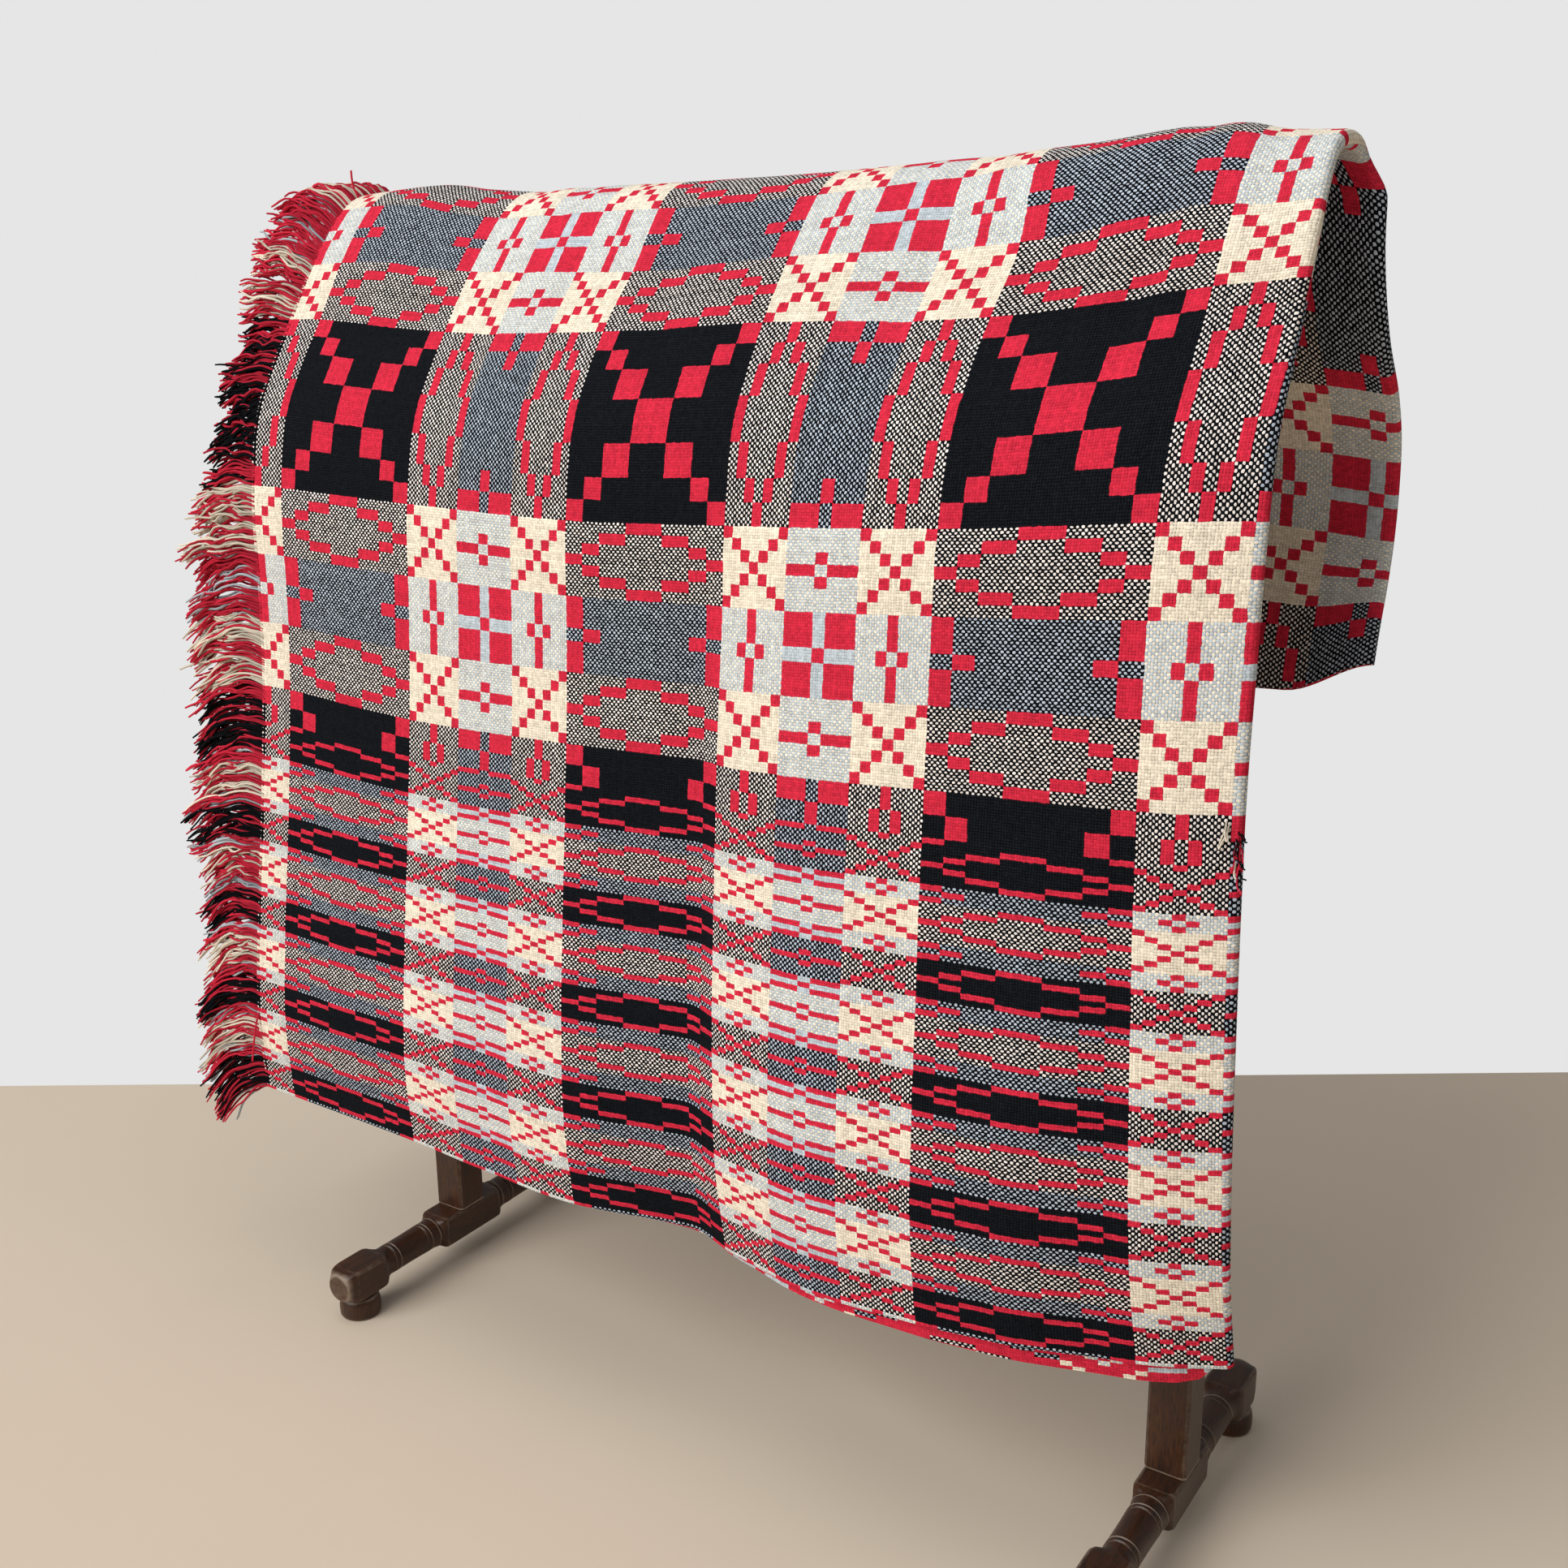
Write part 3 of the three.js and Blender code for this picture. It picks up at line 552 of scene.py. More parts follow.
class Bench:
    """One material and the nodes that are added to it."""

    def __init__(self, name, constants):
        self.material = bpy.data.materials.new(name)
        self.material.use_nodes = True
        self.tree = self.material.node_tree
        self.shader = self.tree.nodes["Principled BSDF"]
        self.feed(self.shader, constants)

    def feed(self, node, sockets):
        items = sockets.items() if isinstance(sockets, dict) else enumerate(sockets)
        for key, value in items:
            if isinstance(value, Value):
                self.tree.links.new(value.socket, node.inputs[key])
            else:
                node.inputs[key].default_value = value

    def add(self, kind, settings=None, sockets=(), output=0):
        """A node of that kind, its settings made first, then its sockets filled."""
        node = self.tree.nodes.new(kind)
        for key, value in (settings or {}).items():
            if key == "stops":
                self.set_stops(node.color_ramp, value)
            elif key == "ramp":
                node.color_ramp.interpolation = value
            else:
                setattr(node, key, value)
        self.feed(node, sockets)
        return Value(self, node.outputs[output])

    def set_stops(self, ramp, stops):
        while len(ramp.elements) < len(stops):
            ramp.elements.new(1)
        for element, (place, colour) in zip(ramp.elements, stops):
            element.position = place
            element.color = (*colour, 1)

    def ramp(self, factor, stops, kind="LINEAR"):
        settings = {"ramp": kind, "stops": stops}
        return self.add("ShaderNodeValToRGB", settings, {"Fac": factor})

    def mix(self, factor, a, b, blend="MIX"):
        """Colour a at factor 0, b at factor 1."""
        settings = {"data_type": "RGBA", "blend_type": blend}
        return self.add("ShaderNodeMix", settings, {0: factor, 6: a, 7: b}, 2)

    def places(self):
        return self.add("ShaderNodeTexCoord", None, (), "Object")

    def attribute(self, name):
        """X of a mesh's attribute, with Y and Z as its other outputs."""
        settings = {"attribute_type": "GEOMETRY", "attribute_name": name}
        vector = self.add("ShaderNodeAttribute", settings, (), "Vector")
        return self.add("ShaderNodeSeparateXYZ", None, (vector,))

    def lit(self, colour, light):
        """A colour made lighter or darker by a factor."""
        shade = self.add("ShaderNodeCombineColor", None, (light, light, light))
        return self.mix(1.0, colour, shade, "MULTIPLY")

    def noise(self, vector, scale, detail=2.0, roughness=0.5, output="Fac"):
        sockets = {"Vector": vector, "Scale": scale, "Detail": detail, "Roughness": roughness}
        return self.add("ShaderNodeTexNoise", None, sockets, output)

    def chance(self, value):
        """A number from 0 to 1 that is the same for equal values."""
        return self.add("ShaderNodeTexWhiteNoise", {"noise_dimensions": "1D"}, {"W": value})

    def scaled(self, vector, factors):
        return self.add("ShaderNodeVectorMath", {"operation": "MULTIPLY"}, (vector, factors))

    def bump(self, height, strength, distance):
        sockets = {"Height": height, "Strength": strength, "Distance": distance}
        return self.add("ShaderNodeBump", None, sockets)


def opaque(colour):
    return (*colour, 1)


def grey(value):
    return (value, value, value)


def rising(low, high):
    """Stops of a ramp from 0 to 1."""
    return [(low, grey(0)), (high, grey(1))]


def falling(low, high):
    """Stops of a ramp from 1 to 0."""
    return [(low, grey(1)), (high, grey(0))]


def about_one(value, spread):
    """A factor that varies evenly about 1 with a value from 0 to 1."""
    return value * spread + (1 - spread / 2)


def yarn_code(yarn):
    return (YARNS.index(yarn) + 0.5) / len(YARNS)


def band_stops(bands):
    """Stops of a stepped ramp over one half repeat: letter in red, yarn in green."""
    starts = [0] + [end for end, _, _ in bands[:-1]]
    reach = bands[-1][0]
    coded = []
    for start, (_, letter, yarn) in zip(starts, bands):
        coded.append((start / reach, (LETTERS.index(letter) / len(LETTERS), yarn_code(yarn), 0)))
    return coded


def yarn_stops(colours):
    return [(i / len(YARNS), tuple(getattr(colours, name))) for i, name in enumerate(YARNS)]


def banded(bench, place, middle, bands):
    """Letter code and yarn code of the block weave at a thread's place."""
    half = bands[-1][0]
    distance = mirrored(place, middle, half)
    coded = bench.ramp(distance / half, band_stops(bands), "CONSTANT")
    parts = bench.add("ShaderNodeSeparateColor", None, (coded,))
    return parts, parts.out("Green")


# Noises in the cloth, by scale: bends of the threads, fluff and cloudy dye
BEND_SCALE = 260.0
FLUFF_SCALE = 900.0
CLOUD_SCALE = 9.0

# Step that tells the crossings of one thread from the next, how far a thread's spot is drawn
# out along it, and the painted sheen of black yarn on its spots and the painted shade beside them
CROSSING_STRIDE = 131
OVAL = 0.8
BLACK_SHEEN = 2.6
BLACK_SHADE = 0.45

# Distance from a crossing: its scale and what unevenness takes from it, where the spot of the
# upper thread ends and where the painted shade of the hole between threads begins. Then light of
# the cloth, and the painted shade that a hole takes from it.
AWAY_SCALE = 0.62
AWAY_UNEVEN = 0.24
SPOT_END = (0.34, 0.47)
HOLE_SHADE_START = (0.52, 0.93)
CLOTH_LIGHT = 1.06
HOLE_SHADE = 0.72


def woven_wool(cloth, colours):
    """Block double weave: striped warp and weft, red where their letters agree."""
    bench = Bench("woven_wool", {"Specular IOR Level": 0.06})
    coords = bench.places()
    place = bench.attribute("weave")
    bends = bench.noise(coords, BEND_SCALE, 2.0, 0.5, "Color")
    bends = bench.add("ShaderNodeSeparateColor", None, (bends,))
    weft, warp, reverse = (place.out(name) * THREADS_A_BLOCK for name in "XYZ")
    weft = weft + (bends - 0.5) * cloth.wander
    warp = warp + (bends.out("Green") - 0.5) * cloth.wander
    weft_thread, warp_thread = math.floor(weft), math.floor(warp)
    weft_at = (weft_thread + 0.5) / THREADS_A_BLOCK
    weft_at = weft_at.maths("MAXIMUM", weft_at, WEFT_START)
    warp_at = (warp_thread + 0.5) / THREADS_A_BLOCK
    weft_letter, weft_yarn = banded(bench, weft_at, WEFT_MIDDLE, FIELD_BANDS)
    field_letter, field_yarn = banded(bench, warp_at, WARP_MIDDLE, FIELD_BANDS)
    border_letter, border_yarn = banded(bench, warp_at, BORDER_MIDDLE, BORDER_BANDS)
    border = warp_at > BORDER_START
    black_start = border * (warp_at < BORDER_BLACK)
    warp_letter = field_letter + (border_letter - field_letter) * border
    warp_code = (field_yarn + (border_yarn - field_yarn) * border) * (1 - black_start)
    same = abs(warp_letter - weft_letter) < 0.5 / len(LETTERS)
    red = abs(same - (reverse > 0.5))

    # One thread lies over the other at each crossing, in turn, and the darker shows between.
    # Next to the cut edge the warp alone shows, beside one last weft thread.
    skipped = abs(weft_thread - BARE_THREAD) < 0.5
    over = (weft_thread + warp_thread) % 2
    over = over.maths("MAXIMUM", over, skipped)
    weft_off = abs(weft - weft_thread - 0.5) * 2
    warp_off = abs(warp - warp_thread - 0.5) * 2
    uneven = bench.chance(weft_thread * CROSSING_STRIDE + warp_thread)
    lean = (over - 0.5) * OVAL
    away = weft_off * weft_off * (1 - lean) + warp_off * warp_off * (1 + lean)
    away = away * (AWAY_SCALE - uneven * AWAY_UNEVEN)
    spot = bench.ramp(away, falling(*SPOT_END))
    hole_shade = bench.ramp(away, rising(*HOLE_SHADE_START))
    tone = bench.chance(weft_thread) * (1 - over) + bench.chance(warp_thread + 0.5) * over

    stops = yarn_stops(colours)
    weft_colour = bench.ramp(weft_yarn, stops, "CONSTANT")
    warp_colour = bench.ramp(warp_code, stops, "CONSTANT")
    between = bench.mix(1.0, weft_colour, warp_colour, "DARKEN")
    dark = 1 / len(YARNS)
    mixed = abs((weft_yarn < dark) - (warp_code < dark))
    dots = [stops[0], (dark, tuple(colours.cream_dots)), (2 * dark, tuple(colours.blue_dots))]
    dot_colour = bench.ramp(weft_yarn + (warp_code - weft_yarn) * over, dots, "CONSTANT")
    top = bench.mix(mixed, bench.mix(over, weft_colour, warp_colour), dot_colour)
    ground = bench.mix(spot, between, top)
    colour = bench.mix(red, ground, opaque(colours.red))
    fluff = bench.noise(coords, FLUFF_SCALE, 3.0, 0.6)
    cloudy = bench.noise(coords, CLOUD_SCALE, 3.0, 0.6)
    # Painted shade in the holes between threads, with tone that differs at random
    light = (CLOTH_LIGHT - hole_shade * HOLE_SHADE) * about_one(tone, 0.2) * about_one(fluff, 0.32)
    light = light * about_one(uneven, 0.18) * about_one(cloudy, 0.14)
    # Painted sheen on the spots of black threads, and painted shade beside them
    black = (weft_yarn < dark) * (warp_code < dark) * (1 - red)
    light = light * (1 + black * (spot * fluff * BLACK_SHEEN - BLACK_SHADE))
    relief = 1 - away + fluff * 0.5 + red * 0.35
    bench.feed(bench.shader, {
        "Base Color": bench.lit(colour, light),
        "Roughness": 0.84 + fluff * 0.16,
        "Normal": bench.bump(relief, cloth.relief_strength, cloth.relief),
    })
    return bench.material


# Scale of the yarn's twist, and height of the relief of yarn and wood, in m
TWIST_SCALE = 700.0
FINE_RELIEF = 0.0006


def spun_wool(colours):
    """Yarn of the fringe, dyed as the warp rows it comes from."""
    bench = Bench("spun_wool", {"Specular IOR Level": 0.08})
    yarn = bench.attribute("yarn")
    tone, along = yarn.out("Y"), yarn.out("Z")
    colour = bench.ramp(yarn, yarn_stops(colours), "CONSTANT")
    twist = bench.noise(bench.places(), TWIST_SCALE, 2.0, 0.6)
    # Darker toward the root: painted shade where the yarns crowd at the cut edge
    light = (0.62 + tone * 0.42) * (0.78 + twist * 0.4) * (0.72 + along * 0.34)
    bench.feed(bench.shader, {
        "Base Color": bench.lit(colour, light),
        "Roughness": 0.8 + twist * 0.2,
        "Normal": bench.bump(twist, 0.6, FINE_RELIEF),
    })
    return bench.material


# Draw of the grain along each axis, and scales of its figure, streaks, pores and spots of wear
# with painted glints
GRAIN_DRAW = {"X": (1, 9, 9), "Y": (9, 1, 9), "Z": (9, 9, 1)}
FIGURE_SCALE = 9.0
STREAK_SCALE = 42.0
PORE_SCALE = 120.0
WEAR_AND_GLINT_SCALE = 160.0


def stained_oak(colours, axis):
    """Dark stained oak with its grain along one axis, lighter on its edges from wear and painted
    glints.
    """
    bench = Bench("stained_oak_" + axis.lower(), {"Specular IOR Level": 0.42})
    coords = bench.places()
    grain_at = bench.scaled(coords, GRAIN_DRAW[axis])
    figure = bench.noise(grain_at, FIGURE_SCALE, 4.0, 0.6)
    streaks = bench.noise(grain_at, STREAK_SCALE, 5.0, 0.65)
    pores = bench.ramp(bench.noise(grain_at, PORE_SCALE), falling(0.36, 0.47))
    wear_and_glint_amount = bench.noise(coords, WEAR_AND_GLINT_SCALE, 3.0, 0.6)
    wear = bench.attribute("wear")
    stain = bench.ramp(
        figure * 0.5 + streaks * 0.5,
        [(0.3, tuple(colours.wood_dark)), (0.7, tuple(colours.wood_light))],
    )
    stain = bench.mix(pores * 0.6, stain, opaque(grey(0.004)))
    # Lighter edges and rings: rubbed wear and painted glints
    wear_and_glint_mask = bench.ramp(wear * (0.45 + wear_and_glint_amount * 0.9), rising(0.32, 0.85))
    bench.feed(bench.shader, {
        "Base Color": bench.mix(wear_and_glint_mask * 0.75, stain, opaque(colours.wood_wear_and_glint)),
        "Roughness": 0.27 + streaks * 0.14 + wear_and_glint_mask * 0.18,
        "Normal": bench.bump(streaks * 0.5 - pores * 0.4 + wear_and_glint_amount * 0.2, 0.25, FINE_RELIEF),
    })
    return bench.material


# Scale of the floor's cloudiness
FLOOR_SCALE = 3.0


def floor_finish(stage):
    """Plain pale matt floor with a faint cloudiness."""
    bench = Bench("pale_floor", {"Roughness": 0.6})
    cloudy = bench.noise(bench.places(), FLOOR_SCALE, 4.0, 0.6)
    colour = bench.lit(opaque(stage.floor_colour), about_one(cloudy, 0.06))
    bench.feed(bench.shader, {"Base Color": colour})
    return bench.material


# Meshes

def new_mesh(name, points, faces, material, smooth_angle=60.0):
    """A shown mesh in the part's frame, smooth but for edges sharper than the angle."""
    mesh = bpy.data.meshes.new(name)
    mesh.from_pydata(np.asarray(points, float).tolist(), [], faces)
    mesh.materials.append(material)
    mesh.shade_smooth()
    mesh.set_sharp_from_angle(angle=math.radians(smooth_angle))
    piece = bpy.data.objects.new(name, mesh)
    bpy.context.scene.collection.objects.link(piece)
    return piece


def set_attribute(piece, name, vectors):
    attribute = piece.data.attributes.new(name, "FLOAT_VECTOR", "POINT")
    attribute.data.foreach_set("vector", np.asarray(vectors, np.float32).ravel())


def settle(piece, slot, *nodes):
    """Puts a piece on the part's body in the place of its CAD nodes."""
    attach(piece, BODY)
    if nodes:
        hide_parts(*nodes)


def tube_faces(rings, sides):
    """Faces of a closed tube of rings, capped at both ends."""
    faces = []
    for i in range(rings - 1):
        for j in range(sides):
            a = i * sides + j
            b = i * sides + (j + 1) % sides
            faces.append((a, b, b + sides, a + sides))
    faces.append(tuple(reversed(range(sides))))
    last = (rings - 1) * sides
    faces.append(tuple(range(last, last + sides)))
    return faces


def lofted(name, rings, wear, material):
    """A closed wooden piece through rings of equal length, with its wear and painted glint at
    each point.
    """
    sides = len(rings[0])
    piece = new_mesh(name, np.concatenate(rings), tube_faces(len(rings), sides), material, 40.0)
    wear = np.asarray(wear, float).ravel()
    set_attribute(piece, "wear", np.stack([wear, wear, wear], axis=1))
    return piece


# Power of a square outline over that of a circle, and reach at which a corner starts and is full
SQUARE_POWER = 16
CORNER_START = 1.22
CORNER_FULL = 1.34


def outline(points, squareness, width, height):
    """Ring between a circle and a square with eased corners, and how near a corner it is."""
    turn = (np.arange(points) + 0.5) / points * 2 * math.pi
    power = 2 + SQUARE_POWER * squareness ** 2
    reach = (np.abs(np.cos(turn)) ** power + np.abs(np.sin(turn)) ** power) ** (-1 / power)
    corner = np.clip((reach - CORNER_START) / (CORNER_FULL - CORNER_START), 0, 1)
    return np.stack([np.cos(turn) * reach * width, np.sin(turn) * reach * height], 1), corner


def ring_across(axis, along, middle, ring):
    """A ring set square to an axis, turning so that a loft's faces look outward."""
    first, second = ring.T
    at = np.full(len(ring), along)
    columns = {
        "X": (at, middle.y + first, middle.z + second),
        "Y": (middle.x - first, at, middle.z + second),
        "Z": (middle.x + first, middle.y + second, at),
    }
    return np.stack(columns[axis], 1)


def turned(name, axis, middle, stations, points, material, corner_wear_and_glint=0.0):
    """A wooden piece through outlines along an axis.

    A station is the place along the axis, half width, half height, squareness, and wear with
    painted glints.
    """
    rings, wear = [], []
    for along, width, height, square, wear_and_glint_amount in stations:
        ring, corner = outline(points, square, width, height)
        rings.append(ring_across(axis, along, middle, ring))
        wear.append(np.maximum(corner * corner_wear_and_glint, wear_and_glint_amount))
    return lofted(name, rings, wear, material)


# Settings

def number(label, description, default, **kind):
    return bpy.props.FloatProperty(name=label, description=description, default=default, **kind)


def metres(label, description, default):
    return number(label, description, default, unit="LENGTH")


def fraction(label, description, default):
    return number(label, description, default, subtype="FACTOR", min=0, max=1)


def angle(label, description, degrees):
    return number(label, description, math.radians(degrees), subtype="ANGLE")


def watts(label, description, default):
    return number(label, description, default, unit="POWER")


def whole(label, description, default):
    return bpy.props.IntProperty(name=label, description=description, default=default)


def dye(label, description, default):
    return bpy.props.FloatVectorProperty(
        name=label, description=description, default=default, subtype="COLOR", size=3,
        min=0, max=1)


class ClothSettings(bpy.types.PropertyGroup):
    """Sizes of the blanket's cloth."""

    thickness: metres("Thickness", "Thickness of one layer", 0.0026)
    pitch: metres("Layer pitch", "From layer to layer", 0.0042)
    puff: metres("Fold puff", "Extra pitch at the fold", 0.0032)
    puff_reach: metres("Puff reach", "How far in the puff fades", 0.026)
    left: metres("Left edge", "Cut edge from the stand's middle", -0.392)
    right: metres("Right edge", "Fold from the stand's middle", 0.368)
    inner_drop: metres("Inner hem", "How far the inner layer hangs past the outer", 0.015)
    block: metres("Weave block", "Size of one block of the weave, four threads", 0.00698)
    first_block: metres("First stripe", "Where the first black stripe starts", -0.3606)
    wander: number("Wander", "How far threads leave their lines, in threads", 0.9)
    relief: metres("Relief", "Height of the threads", 0.0005)
    relief_strength: fraction("Relief strength", "How strongly the threads catch light", 0.55)


class FringeSettings(bpy.types.PropertyGroup):
    """Sizes of the fringe."""

    length: metres("Length", "Length of a cut warp end", 0.080)
    spread: metres("Spread", "How far lengths differ", 0.008)
    radius: metres("Yarn radius", "Radius of one yarn", 0.00096)
    per_block: whole("Ends a block", "Warp ends in a block, in each layer", 8)
    wave: metres("Wave", "How far a yarn waves", 0.0018)
    lock: number("Lock", "Width of a lock of yarns, in blocks of the weave", 1.6)
    gather: fraction("Gather", "How far the yarns of a lock close up at their tips", 0.3)
    seed: whole("Seed", "Draw of the fringe's unevenness", 11)


class ColourSettings(bpy.types.PropertyGroup):
    """Dyes of the yarns and stains of the wood."""

    black: dye("Black", "Dark yarn", (0.0042, 0.0050, 0.0068))
    cream: dye("Cream", "Undyed yarn", (0.86, 0.77, 0.62))
    blue: dye("Blue", "Pale blue yarn", (0.52, 0.585, 0.63))
    cream_dots: dye("Cream dots", "Undyed yarn among black", (0.83, 0.765, 0.72))
    blue_dots: dye("Blue dots", "Pale blue yarn among black", (0.465, 0.53, 0.62))
    red: dye("Red", "Red yarn", (0.65, 0.026, 0.057))
    wood_dark: dye("Dark stain", "Dark of the oak", (0.020, 0.0062, 0.0018))
    wood_light: dye("Light stain", "Light of the oak", (0.080, 0.025, 0.0062))
    # Lighter colour of rubbed edges and of painted glints on edges and rings
    wood_wear_and_glint: dye("Worn wood", "Rubbed edges of the oak", (0.34, 0.26, 0.19))


class StageSettings(bpy.types.PropertyGroup):
    """Camera, light and floor."""

    camera_place: bpy.props.FloatVectorProperty(
        name="Camera", description="Where the camera stands, from the stand's middle",
        default=(0.6355, -0.9328, 0.775), unit="LENGTH", size=3)
    heading: angle("Heading", "Turn of the camera from +Y", 33.5)
    pitch: angle("Pitch", "How far the camera looks down", 15.31)
    roll: angle("Roll", "Tilt of the camera", -0.5)
    lens: number("Lens", "Focal length on a 36 mm sensor", 38.33, subtype="DISTANCE_CAMERA")
    floor_colour: dye("Floor", "Colour of the floor", (0.75, 0.63, 0.495))
    floor_end: metres("Floor's end", "How far from the camera the floor ends", 1.637)
    seen_sky: number("Background", "Brightness of what is seen behind", 0.79)
    sky: number("Surrounding light", "Strength of the even light", 0.21)
    key: watts("Key light", "Power of the large lamp at the front", 358.0)
    top: watts("Top light", "Power of the lamp overhead", 48.0)


SETTINGS = {
    "blanket_cloth": ClothSettings,
    "blanket_fringe": FringeSettings,
    "blanket_colours": ColourSettings,
    "blanket_stage": StageSettings,
}


# Pieces

def layer_pitch(cloth, across):
    """From layer to layer, in mm, wider toward the fold."""
    to_fold = cloth.right / MM - across
    return (cloth.pitch + cloth.puff * np.exp(-to_fold * MM / cloth.puff_reach)) / MM


def hairpin(cloth, outer_steps, inner_steps, fold_steps):
    """Both layers as one path: across, offset, turn round the fold, share of inner layer."""
    fold_radius = (cloth.pitch + cloth.puff) / MM / 2
    fold_middle = (cloth.right - cloth.thickness / 2) / MM - fold_radius
    outer = np.linspace(cloth.left / MM, fold_middle, outer_steps + 1)
    inner = np.linspace(fold_middle, cloth.left / MM, inner_steps + 1)
    turn = math.pi / 2 - math.pi * np.arange(1, fold_steps) / fold_steps
    inner_offset = -layer_pitch(cloth, inner)
    inner_offset[0] = -2 * fold_radius
    across = np.concatenate([outer, fold_middle + fold_radius * np.cos(turn), inner])
    offset = np.concatenate([0 * outer, fold_radius * (np.sin(turn) - 1), inner_offset])
    turns = np.concatenate([0 * outer + math.pi / 2, turn, 0 * inner - math.pi / 2])
    share = np.concatenate([0 * outer, 0.5 - np.sin(turn) / 2, 0 * inner + 1])
    return across, offset, turns, share


def inner_hem(cloth, across, height):
    """How far the inner layer's hem hangs past the outer, in mm."""
    right = cloth.right / MM
    drop = cloth.inner_drop / MM * smooth_step(across, HEM_START, right)
    end, full = (right - inside for inside in HEM_END)
    return drop * smooth_step(across, end, full) * smooth_step(height, *HEM_HEIGHTS)


class BLANKET_OT_cloth(bpy.types.Operator):
    """Drapes the folded blanket over the rails"""

    bl_idname = "blanket.cloth"
    bl_label = "Blanket"

    def execute(self, context):
        cloth = context.scene.blanket_cloth
        across, offset, turns, share = hairpin(cloth, **CLOTH_STEPS)
        rows = np.interp(np.linspace(0, FINE_ARC[-1], CLOTH_ROWS), FINE_ARC, FINE_ROWS)
        size = len(across) * len(rows)
        a, r = np.meshgrid(across, rows, indexing="ij")
        points, side, out = drape_frame(a, r)
        half = cloth.thickness / MM / 2
        warp = warp_place(r, cloth.block / MM) + warp_pull(a, r)
        faces_of_cloth, places_in_weave = [], []
        for facing in (1, -1):
            lift = offset + facing * half * np.sin(turns)
            moved = points + out * lift[:, None, None]
            moved = moved + side * (facing * half * np.cos(turns))[:, None, None]
            drop = inner_hem(cloth, a, moved[..., 2]) * share[:, None] * (r < CREST_ROW)
            moved[..., 2] -= drop
            faces_of_cloth.append(moved.reshape(-1, 3))
            places_in_weave.append(warp + drop * MM / cloth.block)

        face = np.arange(size).reshape(len(across), len(rows))
        back = face + size
        quads = [
            np.stack([face[:-1, :-1], face[1:, :-1], face[1:, 1:], face[:-1, 1:]], -1),
            np.stack([back[:-1, :-1], back[:-1, 1:], back[1:, 1:], back[1:, :-1]], -1),
            np.stack([face[:-1, 0], back[:-1, 0], back[1:, 0], face[1:, 0]], -1),
            np.stack([face[:-1, -1], face[1:, -1], back[1:, -1], back[:-1, -1]], -1),
            np.stack([face[0, :-1], face[0, 1:], back[0, 1:], back[0, :-1]], -1),
            np.stack([face[-1, :-1], back[-1, :-1], back[-1, 1:], face[-1, 1:]], -1),
        ]
        quads = np.concatenate([group.reshape(-1, 4) for group in quads])
        material = woven_wool(cloth, context.scene.blanket_colours)
        piece = new_mesh("tapestry_blanket", to_frame(np.concatenate(faces_of_cloth)),
                         quads.tolist(), material)

        spacing = np.hypot(np.diff(across), np.diff(offset))
        length = np.concatenate([[0], np.cumsum(spacing)])
        weft = (across[0] * MM - cloth.first_block) / cloth.block + length * MM / cloth.block
        before_fold = np.where(share > 0, GIVE_ACROSS[-1], across)
        u = weft[:, None] - weft_give(before_fold[:, None], rows)
        weave = []
        for reverse, warp in enumerate(places_in_weave):
            weave.append(np.stack([u, warp, np.full(warp.shape, reverse)], -1).reshape(-1, 3))
        set_attribute(piece, "weave", np.concatenate(weave))
        self.lay_out(piece, quads, length, rows)
        settle(piece, "cloth", "blanket")
        return {"FINISHED"}

    def lay_out(self, piece, quads, length, rows):
        """A flat map of the cloth: the shown face wide, its reverse in a narrow strip."""
        split, strip, rim, inset = 0.93, 0.055, 0.004, 0.008
        along = arc_at(rows) / FINE_ARC[-1]
        across = length / length[-1]
        x, y = np.meshgrid(across, along, indexing="ij")
        y = inset + y * (1 - 2 * inset)
        shown = np.stack([inset + x * (split - 2 * inset), y], -1).reshape(-1, 2)
        hidden = np.stack([split + rim + x * strip, y], -1).reshape(-1, 2)
        places = np.concatenate([shown, hidden])[quads]
        size = len(shown)
        mixed = (quads < size).any(1) & (quads >= size).any(1)
        partner = np.where(quads >= size, quads - size, quads)
        edge = shown[partner[mixed]]
        outward = np.sign(edge.mean(1) - shown.mean(0)) * rim
        places[mixed] = edge + np.where((quads[mixed] >= size)[..., None], outward[:, None], 0)
        flat_map = piece.data.uv_layers.new(name="OFBake")
        flat_map.uv.foreach_set("vector", places.astype(np.float32).ravel())


# A direction that no yarn runs along
ACROSS_YARNS = (0.05, 0.3, 1.0)


def tube_paths(paths, radii, sides):
    """Points of tubes along many paths at once: paths, stops, sides, XYZ."""
    along = np.gradient(paths, axis=1)
    along /= np.linalg.norm(along, axis=-1, keepdims=True)
    first = np.cross(along, ACROSS_YARNS)
    first /= np.linalg.norm(first, axis=-1, keepdims=True)
    second = np.cross(first, along)
    turn = np.arange(sides) / sides * 2 * math.pi
    ring = first[:, :, None] * np.cos(turn)[:, None] + second[:, :, None] * np.sin(turn)[:, None]
    return paths[:, :, None] + ring * radii[:, :, None, None]


def yarn_piece(name, paths, radii, dyes, tones, material):
    """One mesh of many yarns, from paths in mm, each with its dye and tone."""
    count, stops, _ = paths.shape
    points = to_frame(tube_paths(paths, radii, YARN_SIDES).reshape(-1, 3))
    one = stops * YARN_SIDES
    single = tube_faces(stops, YARN_SIDES)
    faces = []
    for k in range(count):
        first = k * one
        faces.extend(tuple(first + i for i in face) for face in single)
    piece = new_mesh(name, points, faces, material)
    codes = [yarn_code(dyed) for dyed in dyes]
    along = np.tile(np.repeat(np.linspace(0, 1, stops), YARN_SIDES), count)
    facts = [np.repeat(codes, one), np.repeat(tones, one), along]
    set_attribute(piece, "yarn", np.stack(facts, 1))
    return piece


def even_length(paths, lengths):
    """The same paths, scaled about their roots to the wanted lengths."""
    measured = np.linalg.norm(np.diff(paths, axis=1), axis=-1).sum(1)
    return paths[:, :1] + (paths - paths[:, :1]) * (lengths / measured)[:, None, None]


